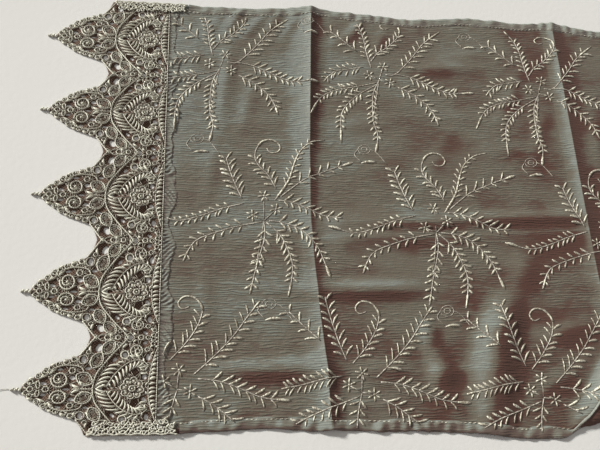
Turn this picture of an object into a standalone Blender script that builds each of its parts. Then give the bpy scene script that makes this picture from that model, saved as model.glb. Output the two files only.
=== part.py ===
"""Lace-ended wrap, laid flat at full length with its old folds still in the cloth.

The cloth is one long panel with a narrow hem along each long side. A pointed lace border of five
teeth is sewn across each end, over the panel's turned seam allowance, and the border's own side
edges are folded over it as short strips. Near the left end the near edge is rolled under.

Lengths are in millimetres until a mesh is made. In every table and function, s runs along the wrap
from the left end's picots, and y across it, away from the near edge.
"""

import math
from collections import namedtuple

import bpy
from mathutils import Vector
from mathutils.geometry import delaunay_2d_cdt

MM = 0.001
GAP = 0.3                       # clearance between pieces that meet
SHARP_ANGLE = math.radians(40)

# Driving sizes
LENGTH = 1680.0                 # from picot to picot
SECTIONS = 8                    # folded in half three times
FOLD_PITCH = LENGTH / SECTIONS
CLOTH_WALL = 1.0
LACE_WALL = 1.5
LACE_DEPTH = 94.5               # picot to seam
TEETH = 5
REPEAT = 70.0                   # lace repeat before it is eased on to the cloth
HEM = 7.5                       # width of the turned hem
RELIEF = 1.0                    # how far the lace's cords and flowers stand above its ground

# Lace repeat: s from the picots, v from the repeat's axis
PICOT_HALF = 1.6
PICOT_ROOT = 6.6
NOTCH_S = 48.8
SCALLOP = 1.0                   # rise of the edge rings between the points of TOOTH_EDGE
TOOTH_EDGE = (
    (7.4, 2.4), (9.6, 5.6), (13.2, 7.4), (16.6, 10.9), (20.8, 13.6), (25.2, 16.6),
    (29.9, 18.9), (34.8, 20.7), (39.8, 21.9), (43.6, 24.6), (46.2, 28.6), (47.8, 32.4),
)

# Gaps wider or longer than 4 mm in one repeat. Those with v above 0 have a twin at -v.
LaceGap = namedtuple("LaceGap", "s v length width turn corners")
LACE_GAPS = (
    LaceGap(13.2, 3.9, 4.4, 2.2, 12, 4),
    LaceGap(21.2, 4.0, 4.8, 2.4, -8, 4),
    LaceGap(31.0, 13.2, 5.0, 2.0, 8, 4),
    LaceGap(35.6, 0.0, 6.0, 2.0, 0, 4),
    LaceGap(39.2, 7.6, 5.0, 3.4, 0, 5),
    LaceGap(45.6, 19.8, 4.2, 6.0, 0, 6),
    LaceGap(48.8, 13.9, 5.0, 2.4, 10, 4),
    LaceGap(55.2, 28.0, 5.2, 7.4, -34, 3),
    LaceGap(57.0, 0.0, 3.4, 4.4, 0, 4),
    LaceGap(65.8, 19.8, 4.4, 2.6, 48, 4),
    LaceGap(72.3, 22.9, 4.2, 4.2, 0, 6),
    LaceGap(85.6, 8.0, 3.8, 4.4, 0, 3),
    LaceGap(87.6, 21.4, 3.6, 5.6, 0, 4),
    LaceGap(85.2, 31.4, 4.2, 2.6, 30, 4),
)
BOUNDARY_GAP = LaceGap(75.0, 35.0, 4.8, 4.8, 0, 4)
GAP_REACH = 9.0                 # no gap reaches further than this from its first corner

# Raised forms of one repeat
ARCH_CORD = (
    (52.6, 0.0), (53.2, 6.5), (55.2, 11.5), (59.6, 17.6), (64.6, 24.0), (69.4, 29.4), (71.0, 33.4),
)
RAIL_S = 91.6
RAIL_STEP = 17.5
FLOWER_S = 78.4
FLOWER_REACH = 5.4
FLOWER_POINTS = 8
ROSETTES = ((30.3, 6.7), (79.6, 25.6))
ROSETTE_REACH = 3.8
ROSETTE_SIDES = 6
MeshPetal = namedtuple("MeshPetal", "s v length turn")
MESH_PETALS = (
    MeshPetal(48.0, 6.6, 7.0, -38),
    MeshPetal(54.9, 18.8, 7.0, 62),
    MeshPetal(61.8, 27.6, 7.0, 52),
)
FERN_REACH = 16.2               # of the fern wreath's rib from the flower's centre
FERN_TURNS = (-92, -118, -148, 180, 148, 118, 92)

# The ground between the raised forms
HOLLOW_REACHES = (9.6, 21.6)    # rings of ground inside and outside the fern wreath
HOLLOW_POINTS = (
    (44.4, 3.2), (51.4, 11.8), (58.2, 23.6), (66.6, 32.2), (25.0, 9.6), (36.2, 3.4), (26.4, 1.6),
    (80.0, 20.4), (75.6, 29.4), (84.4, 27.0),
)

# How the lace's repeats are eased on to the end of the cloth: y at each axis and boundary
LACE_EASE = (-173.0, -142.5, -107.5, -75.0, -36.0, -1.0, 35.5, 70.5, 105.0, 138.5, 175.5)

# Folded side edges of the lace
SIDE_STRIP_START = 49.5
SIDE_STRIP_END = 109.0
SIDE_STRIP_WIDTH = 9.5
SIDE_STRIP_CELLS = 10
SIDE_STRIP_PUCKER = 0.7
STRIP_CLEARANCE = 9.0           # no raised form comes nearer to a folded strip

# Seam allowance that lies on the cloth beside each lace border
BAND_WIDTH = 8.5
BAND_WAVE = 1.7
BAND_LIFT = 0.5                 # of its loose edge, at most twice this
BAND_CELLS = 28
BAND_WALL = 1.0

# Outline of the cloth: y of its far and near edges
EdgeRow = namedtuple("EdgeRow", "s far near")
CLOTH_EDGES = (
    EdgeRow(94.8, 175.5, -173.0),
    EdgeRow(130.0, 173.8, -170.5),
    EdgeRow(170.0, 175.0, -169.5),
    EdgeRow(210.0, 178.5, -171.5),
    EdgeRow(250.0, 174.5, -172.0),
    EdgeRow(300.0, 171.5, -173.5),
    EdgeRow(345.0, 176.0, -178.5),
    EdgeRow(370.0, 174.5, -178.0),
    EdgeRow(388.0, 173.5, -171.0),
    EdgeRow(420.0, 176.5, -161.0),
    EdgeRow(460.0, 170.5, -158.0),
    EdgeRow(500.0, 172.0, -165.0),
    EdgeRow(530.0, 174.0, -173.5),
    EdgeRow(630.0, 175.5, -175.0),
    EdgeRow(735.0, 173.5, -176.5),
    EdgeRow(840.0, 177.5, -172.5),
    EdgeRow(945.0, 173.5, -174.5),
    EdgeRow(1050.0, 177.0, -178.0),
    EdgeRow(1155.0, 173.0, -174.0),
    EdgeRow(1260.0, 176.0, -172.0),
    EdgeRow(1365.0, 173.5, -176.0),
    EdgeRow(1470.0, 177.5, -174.5),
    EdgeRow(1530.0, 174.5, -172.5),
    EdgeRow(1585.2, 175.5, -173.0),
)

# Folds across the wrap, one at each section's end. A ridge stands up, a valley lies between rises.
CrossFold = namedtuple("CrossFold", "section ridge rise before after")
CROSS_FOLDS = (
    CrossFold(1, True, 4.6, 24.0, 8.0),
    CrossFold(2, True, 4.4, 13.0, 15.0),
    CrossFold(3, False, 2.4, 15.0, 18.0),
    CrossFold(4, True, 4.8, 18.0, 12.0),
    CrossFold(5, True, 4.0, 11.0, 17.0),
    CrossFold(6, False, 2.6, 17.0, 13.0),
    CrossFold(7, True, 4.2, 9.0, 22.0),
)

# Creases along the wrap, as valleys between two soft rises
LongFold = namedtuple("LongFold", "start end y_start y_end rise spread")
LONG_FOLDS = (
    LongFold(208.0, 424.0, -29.0, -17.0, 2.6, 13.0),
    LongFold(632.0, 838.0, -22.0, -30.0, 2.2, 14.0),
    LongFold(1052.0, 1262.0, -18.0, -27.0, 2.4, 13.0),
)

# Soft swellings: centre, half length, half width, turn from the wrap's length, rise
Swell = namedtuple("Swell", "s y half_length half_width turn rise")
SWELLS = (
    Swell(172, -131, 40, 9, 0, 2.4),
    Swell(248, -69, 44, 10, 0, 2.8),
    Swell(283, -113, 30, 12, 84, 3.0),
    Swell(338, -118, 48, 14, 78, 4.2),
    Swell(352, -56, 52, 17, 8, 2.6),
    Swell(300, 128, 46, 14, -8, 1.6),
    Swell(520, -86, 60, 16, -10, 3.0),
    Swell(575, 60, 52, 15, 14, 2.6),
    Swell(700, 95, 64, 17, -6, 2.4),
    Swell(745, -110, 46, 15, 70, 3.2),
    Swell(905, -75, 58, 16, 12, 2.8),
    Swell(985, 70, 50, 15, -18, 2.6),
    Swell(1110, 105, 56, 16, 8, 2.4),
    Swell(1150, -104, 44, 14, 76, 3.4),
    Swell(1320, 40, 60, 17, -12, 2.6),
    Swell(1390, -92, 52, 15, 16, 3.0),
)

# The near edge rolled under: it starts, is widest and ends at these s
ROLL_START = 374.0
ROLL_WIDEST = 438.0
ROLL_END = 536.0
ROLL_CREST = 30.0               # from the rolled edge to its crest, at the widest
ROLL_RISE = 7.0
ROLL_FADE = 20.0                # how far past the crest the cloth comes down again
ROLL_LIP = 0.35                 # share of the rise that the rolled edge itself has

FLAT_BELOW = 0.6                # rises under this lie flat on the surface
FLAT_AT_SEAM = 16.0             # the panel lies flat this far from each lace border
SEAM_EASE = 25.0                # and its folds reach their full rise over this much more
RISE_VARIES = 0.18              # how much a fold's rise changes along it, and over what length
RISE_WAVE = 47.0
LONG_FOLD_ENDS = 25.0           # a lengthwise crease fades out over this much at each end

# Where the panel has its points: besides those at its edges and folds
SECTION_SHARE = 27.0            # each side of a section's middle
LEFT_STATIONS = (150.0, 172.0, 228.0, 265.0, 284.0, 301.0, 322.0, 338.0, 354.0)
ROLL_STATIONS = (ROLL_START, 386.0, 398.0, 408.0, 462.0, 492.0, ROLL_END)
FOLD_STATIONS = (0.4, 1.4)      # shares of a fold's reach
LEAST_STATION_STEP = 4.0
LEAST_CREST = HEM + 6.0         # from the near edge to the row that the roll's crest takes
PAST_CREST = 40.0               # and to the next row
NEAR_SIDE_ROWS = (-112.0, -94.0, -80.0, -69.0, -57.0, -43.0)
FAR_SIDE_ROWS = (22.0, 55.0, 90.0, 125.0)
AFTER_LONG_FOLD = 14.0
FAR_ROW = 24.0                  # from the far edge


def smooth(t):
    """0 to 1 with level ends."""
    t = min(1.0, max(0.0, t))
    return t * t * (3.0 - 2.0 * t)


def between(rows, column, s):
    """A column of CLOTH_EDGES at s, smooth between its rows."""
    for first, second in zip(rows, rows[1:]):
        if s <= second.s:
            share = smooth((s - first.s) / (second.s - first.s))
            start = getattr(first, column)
            return start + (getattr(second, column) - start) * share
    return getattr(rows[-1], column)


def roll_share(s):
    """0 where the near edge lies flat, 1 where it is rolled under most."""
    if s < ROLL_WIDEST:
        return smooth((s - ROLL_START) / (ROLL_WIDEST - ROLL_START))
    return smooth((ROLL_END - s) / (ROLL_END - ROLL_WIDEST))


def roll_lift(s, y):
    share = roll_share(s)
    if share <= 0.0:
        return 0.0
    inward = y - between(CLOTH_EDGES, "near", s)
    crest = max(ROLL_CREST * share, 1.0)
    if inward < crest:
        shape = ROLL_LIP + (1.0 - ROLL_LIP) * math.sin(0.5 * math.pi * inward / crest)
    else:
        shape = 1.0 - smooth((inward - crest) / ROLL_FADE)
    return ROLL_RISE * math.sqrt(share) * shape


def cross_fold_lift(s, y):
    total = 0.0
    for fold in CROSS_FOLDS:
        away = s - fold.section * FOLD_PITCH
        reach = fold.before if away < 0 else fold.after
        rise = fold.rise * (1.0 + RISE_VARIES * math.sin(y / RISE_WAVE + fold.section))
        part = abs(away) / reach
        if fold.ridge:
            total += rise * math.exp(-part)
        else:
            total += rise * part * math.exp(1.0 - part)
    return total


def long_fold_y(fold, s):
    share = (s - fold.start) / (fold.end - fold.start)
    return fold.y_start + (fold.y_end - fold.y_start) * min(1.0, max(0.0, share))


def long_fold_lift(s, y):
    total = 0.0
    for fold in LONG_FOLDS:
        if fold.start < s < fold.end:
            end_fade = smooth((s - fold.start) / LONG_FOLD_ENDS)
            end_fade *= smooth((fold.end - s) / LONG_FOLD_ENDS)
            part = abs(y - long_fold_y(fold, s)) / fold.spread
            total += fold.rise * end_fade * part * math.exp(1.0 - part)
    return total


def swell_lift(s, y):
    total = 0.0
    for swell in SWELLS:
        turn = math.radians(swell.turn)
        ds = s - swell.s
        dy = y - swell.y
        along = (ds * math.cos(turn) + dy * math.sin(turn)) / swell.half_length
        across = (-ds * math.sin(turn) + dy * math.cos(turn)) / swell.half_width
        total += swell.rise * math.exp(-along * along - across * across)
    return total


def cloth_lift(s, y):
    """Height of the panel's underside above the surface it lies on."""
    total = cross_fold_lift(s, y) + long_fold_lift(s, y) + swell_lift(s, y)
    from_seam = min(s, LENGTH - s) - LACE_DEPTH
    total *= smooth((from_seam - FLAT_AT_SEAM) / SEAM_EASE)
    return max(0.0, total - FLAT_BELOW)


def panel_stations():
    """The s of each line of points across the panel, closest together at the folds."""
    stations = {LACE_DEPTH + GAP, LACE_DEPTH + FLAT_AT_SEAM}
    stations |= {LENGTH - s for s in stations}
    for fold in CROSS_FOLDS:
        at = fold.section * FOLD_PITCH
        stations.add(at)
        stations |= {at - share * fold.before for share in FOLD_STATIONS}
        stations |= {at + share * fold.after for share in FOLD_STATIONS}
    for section in range(1, SECTIONS - 1):
        middle = (section + 0.5) * FOLD_PITCH
        stations |= {middle - SECTION_SHARE, middle + SECTION_SHARE}
    stations |= set(LEFT_STATIONS) | set(ROLL_STATIONS)
    kept = []
    for s in sorted(stations):
        if not kept or s - kept[-1] > LEAST_STATION_STEP:
            kept.append(s)
    return kept


def panel_rows(s):
    """The y of each point across the panel at s, from its near edge to its far edge."""
    near = between(CLOTH_EDGES, "near", s)
    far = between(CLOTH_EDGES, "far", s)
    crest = near + max(LEAST_CREST, ROLL_CREST * roll_share(s))
    fold = long_fold_y(LONG_FOLDS[0], s)
    rows = [near, near + HEM, crest, near + PAST_CREST, *NEAR_SIDE_ROWS]
    rows += [fold, fold + AFTER_LONG_FOLD, *FAR_SIDE_ROWS]
    return rows + [far - FAR_ROW, far - HEM, far]


def place(s, y, z):
    return Vector(((s - LENGTH / 2) * MM, y * MM, z * MM))


def wall_from_grid(top, bottom):
    """A closed wall from two grids of points, each a list of equally long rows."""
    across = len(top[0])
    verts = []
    faces = []
    for grid in (top, bottom):
        for row in grid:
            verts.extend(row)
    under = len(top) * across

    def at(i, j):
        return i * across + j

    for i in range(len(top) - 1):
        for j in range(across - 1):
            a, b, c, d = at(i, j), at(i + 1, j), at(i + 1, j + 1), at(i, j + 1)
            faces += [(a, b, c), (a, c, d)]
            faces += [(under + a, under + c, under + b), (under + a, under + d, under + c)]
    rim = [at(i, 0) for i in range(len(top))]
    rim += [at(len(top) - 1, j) for j in range(1, across)]
    rim += [at(i, across - 1) for i in range(len(top) - 2, -1, -1)]
    rim += [at(0, j) for j in range(across - 2, 0, -1)]
    for a, b in zip(rim, rim[1:] + rim[:1]):
        faces += [(a, under + a, under + b), (a, under + b, b)]
    return verts, faces


def make_material(name, colour, roughness):
    material = bpy.data.materials.new(name)
    material.use_nodes = True
    shader = material.node_tree.nodes["Principled BSDF"]
    shader.inputs["Base Color"].default_value = (*colour, 1.0)
    shader.inputs["Roughness"].default_value = roughness
    shader.inputs["Metallic"].default_value = 0.0
    return material


def make_object(name, verts, faces, material):
    mesh = bpy.data.meshes.new(name)
    mesh.from_pydata(verts, [], faces)
    mesh.validate()
    mesh.materials.append(material)
    mesh.shade_smooth()
    mesh.set_sharp_from_angle(angle=SHARP_ANGLE)
    made = bpy.data.objects.new(name, mesh)
    bpy.context.scene.collection.objects.link(made)
    made.parent = bpy.data.objects["wrap"]
    return made


def make_panel(material):
    top = []
    bottom = []
    for s in panel_stations():
        rows = panel_rows(s)
        top.append([place(s, y, cloth_lift(s, y) + roll_lift(s, y) + CLOTH_WALL) for y in rows])
        bottom.append([place(s, y, cloth_lift(s, y)) for y in rows])
    verts, faces = wall_from_grid(top, bottom)
    return make_object("cloth_panel", verts, faces, material)


def make_hem(name, start, end, rows, material):
    """A hem strip over two neighbouring rows of the panel's points, moved out."""
    stations = [s for s in panel_stations() if start < s < end]
    stations = [start] + stations + [end]
    grids = []
    for rise in (CLOTH_WALL + GAP + CLOTH_WALL, CLOTH_WALL + GAP):
        grid = []
        for s in stations:
            across = panel_rows(s)
            lifts = [cloth_lift(s, across[r]) + roll_lift(s, across[r]) for r in rows]
            grid.append([place(s, across[r], lift + rise) for r, lift in zip(rows, lifts)])
        grids.append(grid)
    verts, faces = wall_from_grid(*grids)
    return make_object(name, verts, faces, material)


def lace_y(w):
    """Where the lace's own width w, from -175 to 175, comes on the end of the cloth."""
    steps = (w / REPEAT + TEETH / 2) * 2.0
    knot = min(len(LACE_EASE) - 2, max(0, math.floor(steps)))
    share = steps - knot
    return LACE_EASE[knot] + (LACE_EASE[knot + 1] - LACE_EASE[knot]) * share


def tooth_axes():
    return [(k - (TEETH - 1) / 2) * REPEAT for k in range(TEETH)]


def tooth_side():
    """One side of a tooth from its picot to its notch, with a point out at each edge ring."""
    points = [(0.0, 0.0), (0.9, PICOT_HALF), (PICOT_ROOT, PICOT_HALF)]
    edge = list(TOOTH_EDGE) + [(NOTCH_S, REPEAT / 2)]
    for (s0, v0), (s1, v1) in zip(edge, edge[1:-1]):
        length = math.hypot(s1 - s0, v1 - v0)
        points.append((s0, v0))
        out_s = (s0 + s1) / 2 - SCALLOP * (v1 - v0) / length
        out_v = (v0 + v1) / 2 + SCALLOP * (s1 - s0) / length
        points.append((out_s, out_v))
    points.append(edge[-2])
    return points


def lace_outline():
    """The whole border's outline, in s and w, from the near seam corner round to it again."""
    half = TEETH * REPEAT / 2
    outline = [(LACE_DEPTH, -half), (LACE_DEPTH, half)]
    side = tooth_side()
    for axis in reversed(tooth_axes()):
        outline.append((NOTCH_S, axis + REPEAT / 2))
        outline += [(s, axis + v) for s, v in reversed(side)]
        outline += [(s, axis - v) for s, v in side[1:]]
    outline.append((NOTCH_S, -half))
    return outline


def gap_outline(gap, axis, mirror):
    turn = math.radians(gap.turn * mirror)
    points = []
    for k in range(gap.corners):
        angle = 2.0 * math.pi * (k + (0.5 if gap.corners == 6 else 0.0)) / gap.corners
        along = 0.5 * gap.length * math.cos(angle)
        across = 0.5 * gap.width * math.sin(angle)
        s = gap.s + along * math.cos(turn) - across * math.sin(turn)
        v = gap.v * mirror + along * math.sin(turn) + across * math.cos(turn)
        points.append((s, axis + v))
    return points


def lace_gaps():
    gaps = []
    for axis in tooth_axes():
        for gap in LACE_GAPS:
            gaps.append(gap_outline(gap, axis, 1))
            if gap.v > 0:
                gaps.append(gap_outline(gap, axis, -1))
    for axis in tooth_axes()[:-1]:
        gaps.append(gap_outline(BOUNDARY_GAP, axis, 1))
    return gaps


def ring_points(s, w, reach, count):
    points = []
    for k in range(count):
        angle = 2.0 * math.pi * (k + 0.5) / count
        points.append((s + reach * math.cos(angle), w + reach * math.sin(angle)))
    return points


def wreath_points(axis, reach, mirror=1):
    points = []
    for degrees in FERN_TURNS:
        angle = math.radians(degrees)
        s = FLOWER_S + reach * math.cos(angle)
        points.append((s, axis + mirror * reach * math.sin(angle)))
    return points


def clear_of_strips(chains):
    """The chains of points without those under or close to a folded strip."""
    covered = TEETH * REPEAT / 2 - SIDE_STRIP_WIDTH - STRIP_CLEARANCE
    return [
        ([point for point in points if abs(point[1]) < covered], closed)
        for points, closed in chains
    ]


def lace_ridges():
    """Lines of raised points: (points, closed)."""
    ridges = []
    for axis in tooth_axes():
        arch = [(s, -v) for s, v in reversed(ARCH_CORD[1:])] + list(ARCH_CORD)
        ridges.append(([(s, axis + v) for s, v in arch], False))
        ridges.append((ring_points(FLOWER_S, axis, FLOWER_REACH, FLOWER_POINTS), True))
        ridges.append((wreath_points(axis, FERN_REACH), False))
        for mirror in (1, -1):
            for s, v in ROSETTES:
                w = axis + v * mirror
                ridges.append((ring_points(s, w, ROSETTE_REACH, ROSETTE_SIDES), True))
            for petal in MESH_PETALS:
                turn = math.radians(petal.turn * mirror)
                ds = 0.36 * petal.length * math.cos(turn)
                dv = 0.36 * petal.length * math.sin(turn)
                w = axis + petal.v * mirror
                ridges.append(([(petal.s - ds, w - dv), (petal.s + ds, w + dv)], False))
    steps = round((TEETH * REPEAT - 2.0 * RAIL_STEP) / RAIL_STEP)
    first = -TEETH * REPEAT / 2 + RAIL_STEP
    ridges.append(([(RAIL_S, first + RAIL_STEP * k) for k in range(steps + 1)], False))
    return clear_of_strips(ridges)


def lace_hollows():
    """Lines of ground points between the raised forms: (points, closed)."""
    hollows = []
    for axis in tooth_axes():
        hollows += [([(FLOWER_S, axis)], False)]
        hollows += [(wreath_points(axis, reach), False) for reach in HOLLOW_REACHES]
        for mirror in (1, -1):
            points = HOLLOW_POINTS + ROSETTES
            hollows += [([(s, axis + v * mirror)], False) for s, v in points]
    return clear_of_strips(hollows)


def inside(point, polygon):
    x, y = point
    odd = False
    for (x0, y0), (x1, y1) in zip(polygon, polygon[1:] + polygon[:1]):
        if (y0 > y) != (y1 > y) and x < x0 + (x1 - x0) * (y - y0) / (y1 - y0):
            odd = not odd
    return odd


def triangles_within(loops, lines, outline, gaps):
    """Triangles over the lace's ground, keeping the given closed loops and lines as edges."""
    points = []
    edges = []
    for chain, closed in [(loop, True) for loop in loops] + lines:
        first = len(points)
        points += chain
        edges += [(first + k, first + k + 1) for k in range(len(chain) - 1)]
        if closed and len(chain) > 2:
            edges.append((first + len(chain) - 1, first))
    result = delaunay_2d_cdt([Vector(p) for p in points], edges, [], 0, 1e-5, False)
    verts = [(v.x, v.y) for v in result[0]]
    kept = []
    for face in result[2]:
        middle = (sum(verts[i][0] for i in face) / 3, sum(verts[i][1] for i in face) / 3)
        if not inside(middle, outline):
            continue
        close = [gap for gap in gaps if math.dist(gap[0], middle) < GAP_REACH]
        if not any(inside(middle, gap) for gap in close):
            kept.append(tuple(face))
    return verts, kept


def rim_edges(faces):
    """The directed edges that only one face has."""
    directed = {(face[k], face[(k + 1) % 3]) for face in faces for k in range(3)}
    return [(a, b) for a, b in directed if (b, a) not in directed]


def rim_loops(verts, rim):
    following = dict(rim)
    loops = []
    while following:
        start = min(following)
        loop = [start]
        step = following.pop(start)
        while step != start:
            loop.append(step)
            step = following.pop(step)
        loops.append([verts[i] for i in loop])
    return loops


def make_lace(name, right, material):
    """A lace border: raised forms on top, a flat underside, and its larger gaps cut through."""
    outline = lace_outline()
    gaps = lace_gaps()
    ridges = lace_ridges()
    raised = {(round(s, 4), round(w, 4)) for points, _ in ridges for s, w in points}
    lines = ridges + lace_hollows()
    top_points, top_faces = triangles_within([outline] + gaps, lines, outline, gaps)
    rim = rim_edges(top_faces)
    loops = rim_loops(top_points, rim)
    low_points, low_faces = triangles_within(loops, [], outline, gaps)

    def world(point, z):
        s, w = point
        return place(LENGTH - s if right else s, lace_y(w), z)

    verts = []
    for point in top_points:
        key = (round(point[0], 4), round(point[1], 4))
        verts.append(world(point, LACE_WALL + (RELIEF if key in raised else 0.0)))
    first_low = len(verts)
    verts += [world(point, 0.0) for point in low_points]
    low_of = {(round(p[0], 4), round(p[1], 4)): first_low + k for k, p in enumerate(low_points)}
    faces = [tuple(face) for face in top_faces]
    faces += [tuple(first_low + i for i in reversed(face)) for face in low_faces]
    for a, b in rim:
        low_a = low_of[tuple(round(c, 4) for c in top_points[a])]
        low_b = low_of[tuple(round(c, 4) for c in top_points[b])]
        faces += [(b, a, low_a), (b, low_a, low_b)]
    if right:
        faces = [tuple(reversed(face)) for face in faces]
    return make_object(name, verts, faces, material)


def make_side_strip(name, right, far, material):
    """The lace's folded side edge, over the border and the corner of the cloth."""
    edge = LACE_EASE[-1] if far else LACE_EASE[0]
    inward = -1.0 if far else 1.0
    low = LACE_WALL + GAP
    top = []
    bottom = []
    for i in range(SIDE_STRIP_CELLS + 1):
        s = SIDE_STRIP_START + (SIDE_STRIP_END - SIDE_STRIP_START) * i / SIDE_STRIP_CELLS
        pucker = SIDE_STRIP_PUCKER * (0.5 + 0.5 * math.sin(2.4 * i))
        heights = (LACE_WALL, LACE_WALL + pucker, LACE_WALL * 0.8)
        ys = [edge + inward * SIDE_STRIP_WIDTH * share for share in (0.0, 0.5, 1.0)]
        if far:
            ys.reverse()
            heights = heights[::-1]
        along = LENGTH - s if right else s
        top.append([place(along, y, low + h) for y, h in zip(ys, heights)])
        bottom.append([place(along, y, low) for y in ys])
    if right:
        top.reverse()
        bottom.reverse()
    verts, faces = wall_from_grid(top, bottom)
    return make_object(name, verts, faces, material)


def make_band(name, right, material):
    """The seam allowance on the cloth beside the lace, with its loose edge in waves."""
    near = LACE_EASE[0] + SIDE_STRIP_WIDTH + 0.5
    far = LACE_EASE[-1] - SIDE_STRIP_WIDTH - 0.5
    low = CLOTH_WALL + GAP
    start = LACE_DEPTH + GAP + 0.2
    top = []
    bottom = []
    for i in range(BAND_CELLS + 1):
        y = near + (far - near) * i / BAND_CELLS
        wave = BAND_WAVE * (math.sin(1.9 * i) + 0.6 * math.sin(0.7 * i + 1.0))
        lift = BAND_LIFT * (1.0 + math.sin(2.6 * i))
        ss = [start, start + BAND_WIDTH + wave]
        heights = (BAND_WALL, BAND_WALL + lift)
        if right:
            ss = [LENGTH - s for s in reversed(ss)]
            heights = heights[::-1]
        top.append([place(s, y, low + h) for s, h in zip(ss, heights)])
        bottom.append([place(s, y, low) for s in ss])
    top = [list(row) for row in zip(*top)]
    bottom = [list(row) for row in zip(*bottom)]
    verts, faces = wall_from_grid(top, bottom)
    return make_object(name, verts, faces, material)


def main():
    for old in list(bpy.data.objects):
        bpy.data.objects.remove(old, do_unlink=True)
    wrap = bpy.data.objects.new("wrap", None)
    bpy.context.scene.collection.objects.link(wrap)

    cloth = make_material("crepe_cloth", (0.17, 0.15, 0.13), 0.55)
    doubled = make_material("doubled_cloth", (0.24, 0.24, 0.21), 0.55)
    lace = make_material("lace_thread", (0.55, 0.51, 0.44), 0.6)

    make_panel(cloth)
    strip_end = SIDE_STRIP_END + GAP
    rows = len(panel_rows(0.0))
    make_hem("hem_far", strip_end, LENGTH - strip_end, (rows - 2, rows - 1), doubled)
    make_hem("hem_near_left", strip_end, ROLL_START, (0, 1), doubled)
    make_hem("hem_near_right", ROLL_END, LENGTH - strip_end, (0, 1), doubled)
    for end, right in (("left", False), ("right", True)):
        make_lace("lace_" + end, right, lace)
        make_band("seam_allowance_" + end, right, doubled)
        for side, far in (("far", True), ("near", False)):
            make_side_strip("lace_fold_" + end + "_" + side, right, far, lace)


main()
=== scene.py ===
"""Looks of the lace-ended wrap: its cloth, hems, lace, embroidery and sewing, around the CAD frame.

Tables are in millimetres. In them s runs along the wrap from the left end's picots, y across it
from its middle, w across a lace border before it is eased on to the cloth, and v across one lace
repeat from its own axis. A Form holds a piece's points as (s, y, height) until it is made.
"""

import random
from collections import namedtuple
from math import atan2, cos, dist, hypot, pi, radians, sin

import bpy
import numpy as np
from mathutils import Matrix, Vector
from mathutils.geometry import delaunay_2d_cdt


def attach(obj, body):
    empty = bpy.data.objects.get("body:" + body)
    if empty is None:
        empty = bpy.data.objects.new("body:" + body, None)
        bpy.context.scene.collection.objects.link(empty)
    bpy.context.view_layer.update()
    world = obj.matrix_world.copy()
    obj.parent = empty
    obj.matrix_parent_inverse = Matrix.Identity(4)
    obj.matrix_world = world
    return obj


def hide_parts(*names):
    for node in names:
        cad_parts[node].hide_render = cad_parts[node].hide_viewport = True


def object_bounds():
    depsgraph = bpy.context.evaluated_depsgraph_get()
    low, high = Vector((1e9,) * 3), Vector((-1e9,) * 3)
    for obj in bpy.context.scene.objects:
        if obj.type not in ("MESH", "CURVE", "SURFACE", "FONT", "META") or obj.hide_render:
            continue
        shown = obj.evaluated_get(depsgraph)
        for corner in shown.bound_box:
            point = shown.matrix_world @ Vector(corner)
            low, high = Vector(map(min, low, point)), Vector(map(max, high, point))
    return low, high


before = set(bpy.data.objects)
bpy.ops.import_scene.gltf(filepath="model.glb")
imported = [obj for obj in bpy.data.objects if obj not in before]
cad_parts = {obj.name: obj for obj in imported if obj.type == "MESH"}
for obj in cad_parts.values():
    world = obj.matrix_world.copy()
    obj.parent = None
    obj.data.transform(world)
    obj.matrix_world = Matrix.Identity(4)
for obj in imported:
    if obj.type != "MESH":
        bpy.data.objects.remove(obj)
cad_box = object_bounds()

MM = 0.001
LENGTH = round((cad_box[1].x - cad_box[0].x) / MM)
SECTIONS = 8
FOLD_PITCH = LENGTH / SECTIONS
LACE_DEPTH = 94.5
SEAM_GAP = 0.3
TEETH = 5
REPEAT = 70.0
HEM = 7.5
CLOTH_THICK = 0.5
CLOTH_LEAST = 0.04              # the least height of its underside
SEED = 11


def table(kind, *rows):
    """Rows of values as a list of kind."""
    return [kind(*row) for row in rows]


# Outline of the cloth: y of its far and near edges
EdgeRow = namedtuple("EdgeRow", "s far near")
CLOTH_EDGES = table(
    EdgeRow,
    (94.8, 175.5, -173), (130, 173.8, -170.5), (170, 175, -169.5), (210, 178.5, -171.5), (250, 174.5, -172),
    (300, 171.5, -173.5), (345, 176, -178.5), (370, 174.5, -178), (388, 173.5, -171), (420, 174.8, -161),
    (460, 169.6, -158), (500, 172, -165), (530, 174, -173.5), (630, 175.5, -175), (735, 173.5, -176.5),
    (840, 177.5, -172.5), (945, 173.5, -174.5), (1050, 177, -178), (1155, 173, -174), (1260, 176, -172),
    (1365, 173.5, -176), (1470, 177.5, -174.5), (1530, 174.5, -172.5), (1585.2, 175.5, -173),
)

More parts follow.
